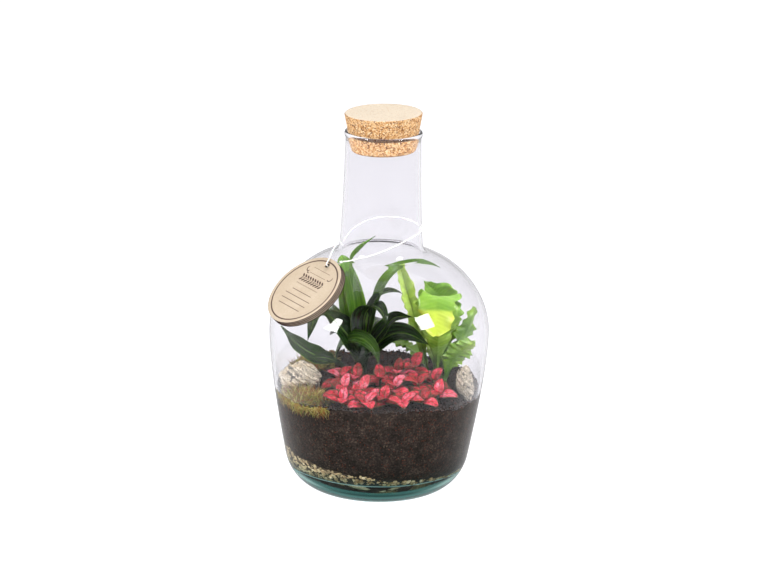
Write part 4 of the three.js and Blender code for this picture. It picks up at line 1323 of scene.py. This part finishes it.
def moss_heap(centre, size, turn, hanging, seed):
    draw = np.random.default_rng(seed)
    heap = Heap()
    points, faces = ball(5)
    x, y, _ = points.T
    tuft = 1 + 0.16 * np.sin(x * 9 + 2 * y) * np.cos(y * 8 - x) + 0.08 * roughness(points, 0.5, seed, 3)
    cushion = turned(points * tuft[:, None] * size, (0, 0, turn)) + centre
    keep_in_glass(cushion, 1.0)
    heap.add(cushion, [faces], (0.3, 0.5, 0))
    for _ in range(STRAND_COUNT):
        bearing, reach = draw.uniform(0, 2 * math.pi), math.sqrt(draw.uniform()) * 0.95
        on_ball = (reach * math.cos(bearing), reach * math.sin(bearing), math.sqrt(1 - reach * reach) - 0.4)
        line = [turned(np.multiply(size, on_ball), (0, 0, turn)) + centre]
        length = draw.uniform(5, 13)
        heading = np.array([draw.normal() * 0.9, draw.normal() * 0.9, 0.9])
        curl = draw.normal(size=3) * 0.55
        for _ in range(STRAND_STEPS):
            heading = heading + curl
            heading /= np.linalg.norm(heading)
            line.append(line[-1] + heading * length / STRAND_STEPS)
        line = np.array(line)
        keep_in_glass(line, 0.8)
        line[:, 2] = np.maximum(line[:, 2], soil_top(line[:, 0], line[:, 1]) + 0.3)
        add_strand(heap, line, 0.42, 0.12, draw)
    walk = np.linspace(-0.25, 1, 7)
    for _ in range(HANGING_COUNT):
        # strands that were caught between the soil and the glass hang down its face
        azimuth, lean = draw.uniform(*hanging), draw.normal() * 0.6
        length, waver = draw.uniform(1, 3.4) ** 2, draw.normal(size=2) * 0.9
        azimuths = azimuth + 4 * lean * walk + waver[0] * np.sin(walk * 5) + waver[1] * np.sin(walk * 9)
        turns = np.radians(azimuths)
        height = edge_heights(soil_top, turns, SOIL_LEVEL) - length * walk
        add_strand(heap, around(inner_radius(height) + HANGING_DEPTH, turns, height), 0.35, 0.15, draw)
    return heap


def moss_finish():
    moss = Recipe("moss")
    tone, rust, strand = moss.marks()
    green = moss.ramp(tone, (0, 0x34380E), (0.4, 0x6E7422), (0.75, 0xA09A4A), (1, 0xCFC080))
    colour = moss.mix(rust.between(0.55, 0.65), green, 0x7E4420)
    # painted shade: the cushion under the strands is painted dark
    painted_shade = moss.mix(strand.between(0.6, 0.4) * 0.8, colour, 0x231F0E)
    grain = moss.noise(900, 3)
    tipped = moss.mix(grain.between(0.4, 0.7) * 0.15, painted_shade, 0xB7B260)
    return moss.finish(tipped, Roughness=0.9, Normal=moss.bump(grain, 0.5))


moss_green = moss_finish()
for side, facts in MOSSES.items():
    place(moss_heap(**facts).piece(f"moss_tuft_{side}"), moss_green, "moss", f"moss_{side}")

# %% [markdown]
# ## The tag
#
# Four round cards of uncoated board on the string, with edges that a laser has burnt, and painted shade
# between the cards. The top card has a printed ring, a bare banner with curled ends, a row of leaves,
# a row of dots and lines to write on. The shader draws them from the card's own coordinates, which
# the mesh stores: a line is where the distance from it is small.

# %% Cards
CARD_STEPS = 180
CARD_SHARES = np.linspace(0, 1, 14) ** 0.8


def card_points(layer):
    """Rings from the hole to the margin on the front, and back again on the other side."""
    ray = around(1, full_turn(CARD_STEPS), 0)[:, :2]
    to_centre = ray[:, 0] * HOLE_OFFSET
    reach = -to_centre + np.sqrt(to_centre**2 + TAG_RADIUS**2 - HOLE_OFFSET**2)
    flat = ray * lerp(HOLE_RADIUS, reach - 0.12, CARD_SHARES[:, None])[..., None]
    margin = (ray * reach[:, None])[None]
    loop = np.concatenate([flat, margin, margin, flat[::-1]])
    half = len(CARD_SHARES)
    sides = [CARD_THICKNESS - 0.15, 0.15]
    depth = np.concatenate([np.full(half, CARD_THICKNESS), sides, np.zeros(half)])
    local = np.concatenate([loop, np.broadcast_to(depth[:, None, None], (*loop.shape[:2], 1))], -1)
    marks = local + [HOLE_OFFSET, 0, 0]
    marks[..., :2] /= TAG_RADIUS
    # the third mark tells the faces apart: 1 is printed, 0.5 is plain and 0 is burnt and painted shade
    marks[..., 2] = 0.5
    if layer == 0:
        marks[:half, :, 2] = 1
    marks[half, :, 2], marks[half + 1, :, 2] = 0.3, 0  # the dark of the burn and of painted shade starts halfway down the side
    fan = math.radians(CARD_FAN * layer)
    out = local[..., 0] * math.cos(fan) - local[..., 1] * math.sin(fan)
    aside = local[..., 0] * math.sin(fan) + local[..., 1] * math.cos(fan)
    seat = in_tag(0, -CARD_PITCH * layer - CARD_THICKNESS)
    across = np.cross(tag_normal, towards_hole)
    points = seat + out[..., None] * towards_hole + aside[..., None] * across + local[..., 2:] * tag_normal
    return points.reshape(-1, 3), marks.reshape(-1, 3)


def card_finish():
    card = Recipe("tag card")
    outwards, across, face = card.marks()
    radius = (outwards ** 2 + across ** 2) ** 0.5
    fibre = card.noise(500, 4, 0.7)
    cloud = card.noise(45, 2)
    board = card.ramp(fibre * 0.5 + cloud * 0.5, (0.3, 0xB4A28B), (0.55, 0xC1B09A), (0.75, 0xCBBDA8))

    def line(distance, half):
        return distance.size().between(half + 0.005, half - 0.004)

    def rule(height, reach, half):
        return line(outwards - height, half) * across.size().between(reach, reach - 0.01)

    ink = line(radius - 0.9, 0.017)
    # two rules shut in a bare banner, and a curl closes each of its ends
    ink = ink.most(rule(0.62, 0.34, 0.004)).most(rule(0.46, 0.34, 0.004))
    for side in (-1, 1):
        for drop, size in ((0.0, 0.075), (-0.07, 0.05)):
            curl = ((outwards - 0.54 - drop * side) ** 2 + (across - (0.44 + drop) * side) ** 2) ** 0.5
            ink = ink.most(line(curl - size, 0.012) * (across * side - outwards + 0.1).between(-0.02, 0.06))
    # pairs of leaves on a long stalk, over a row of dots
    ink = ink.most(rule(0.27, 0.46, 0.006))
    for pair in range(-4, 5):
        for tilt in (-1, 1):
            u, v = outwards - 0.27 - 0.06 * tilt, across - 0.1 * pair - 0.03
            slant = u - v * (0.9 * tilt)
            length = v + u * (0.9 * tilt)
            ink = ink.most(((slant * 27) ** 2 + (length * 12) ** 2).between(1.0, 0.7))
    dots = (across * 150).sine().between(-0.3, 0.1)
    ink = ink.most(rule(0.09, 0.45, 0.012) * dots * 0.8)
    # lines to write on
    for height, reach in ((-0.09, 0.4), (-0.24, 0.52), (-0.39, 0.5), (-0.54, 0.44)):
        ink = ink.most(rule(height, reach, 0.009) * 0.85)
    printed = card.mix(ink * face.between(0.7, 0.9) * 0.92, board, 0x3A1A14)
    # a laser cut the cards and burnt the hole; the back half of each side is dark from the burn and from
    # painted shade between the cards, and the margins of the lower cards are painted shade
    to_hole = ((outwards - HOLE_OFFSET / TAG_RADIUS) ** 2 + across ** 2) ** 0.5
    burnt_and_shaded = face.between(0.16, 0.1).most(to_hole.between(0.066, 0.056))
    burnt_and_shaded = burnt_and_shaded.most(radius.between(0.988, 0.994) * face.between(0.8, 0.6))
    return card.finish(card.mix(burnt_and_shaded, printed, 0x2C120C), Roughness=0.8, Normal=card.bump(fibre, 0.08))


kraft = card_finish()
for layer in range(CARD_COUNT):
    points, marks = card_points(layer)
    # the grid has a row too many, which wraps round to the first one and so closes the card
    faces = grid_faces(len(points) // CARD_STEPS + 1, CARD_STEPS, True) % len(points)
    card = mesh_piece(f"card_{layer + 1}", points, [faces], marks)
    place(card, kraft, "card", f"tag_card_{layer + 1}")
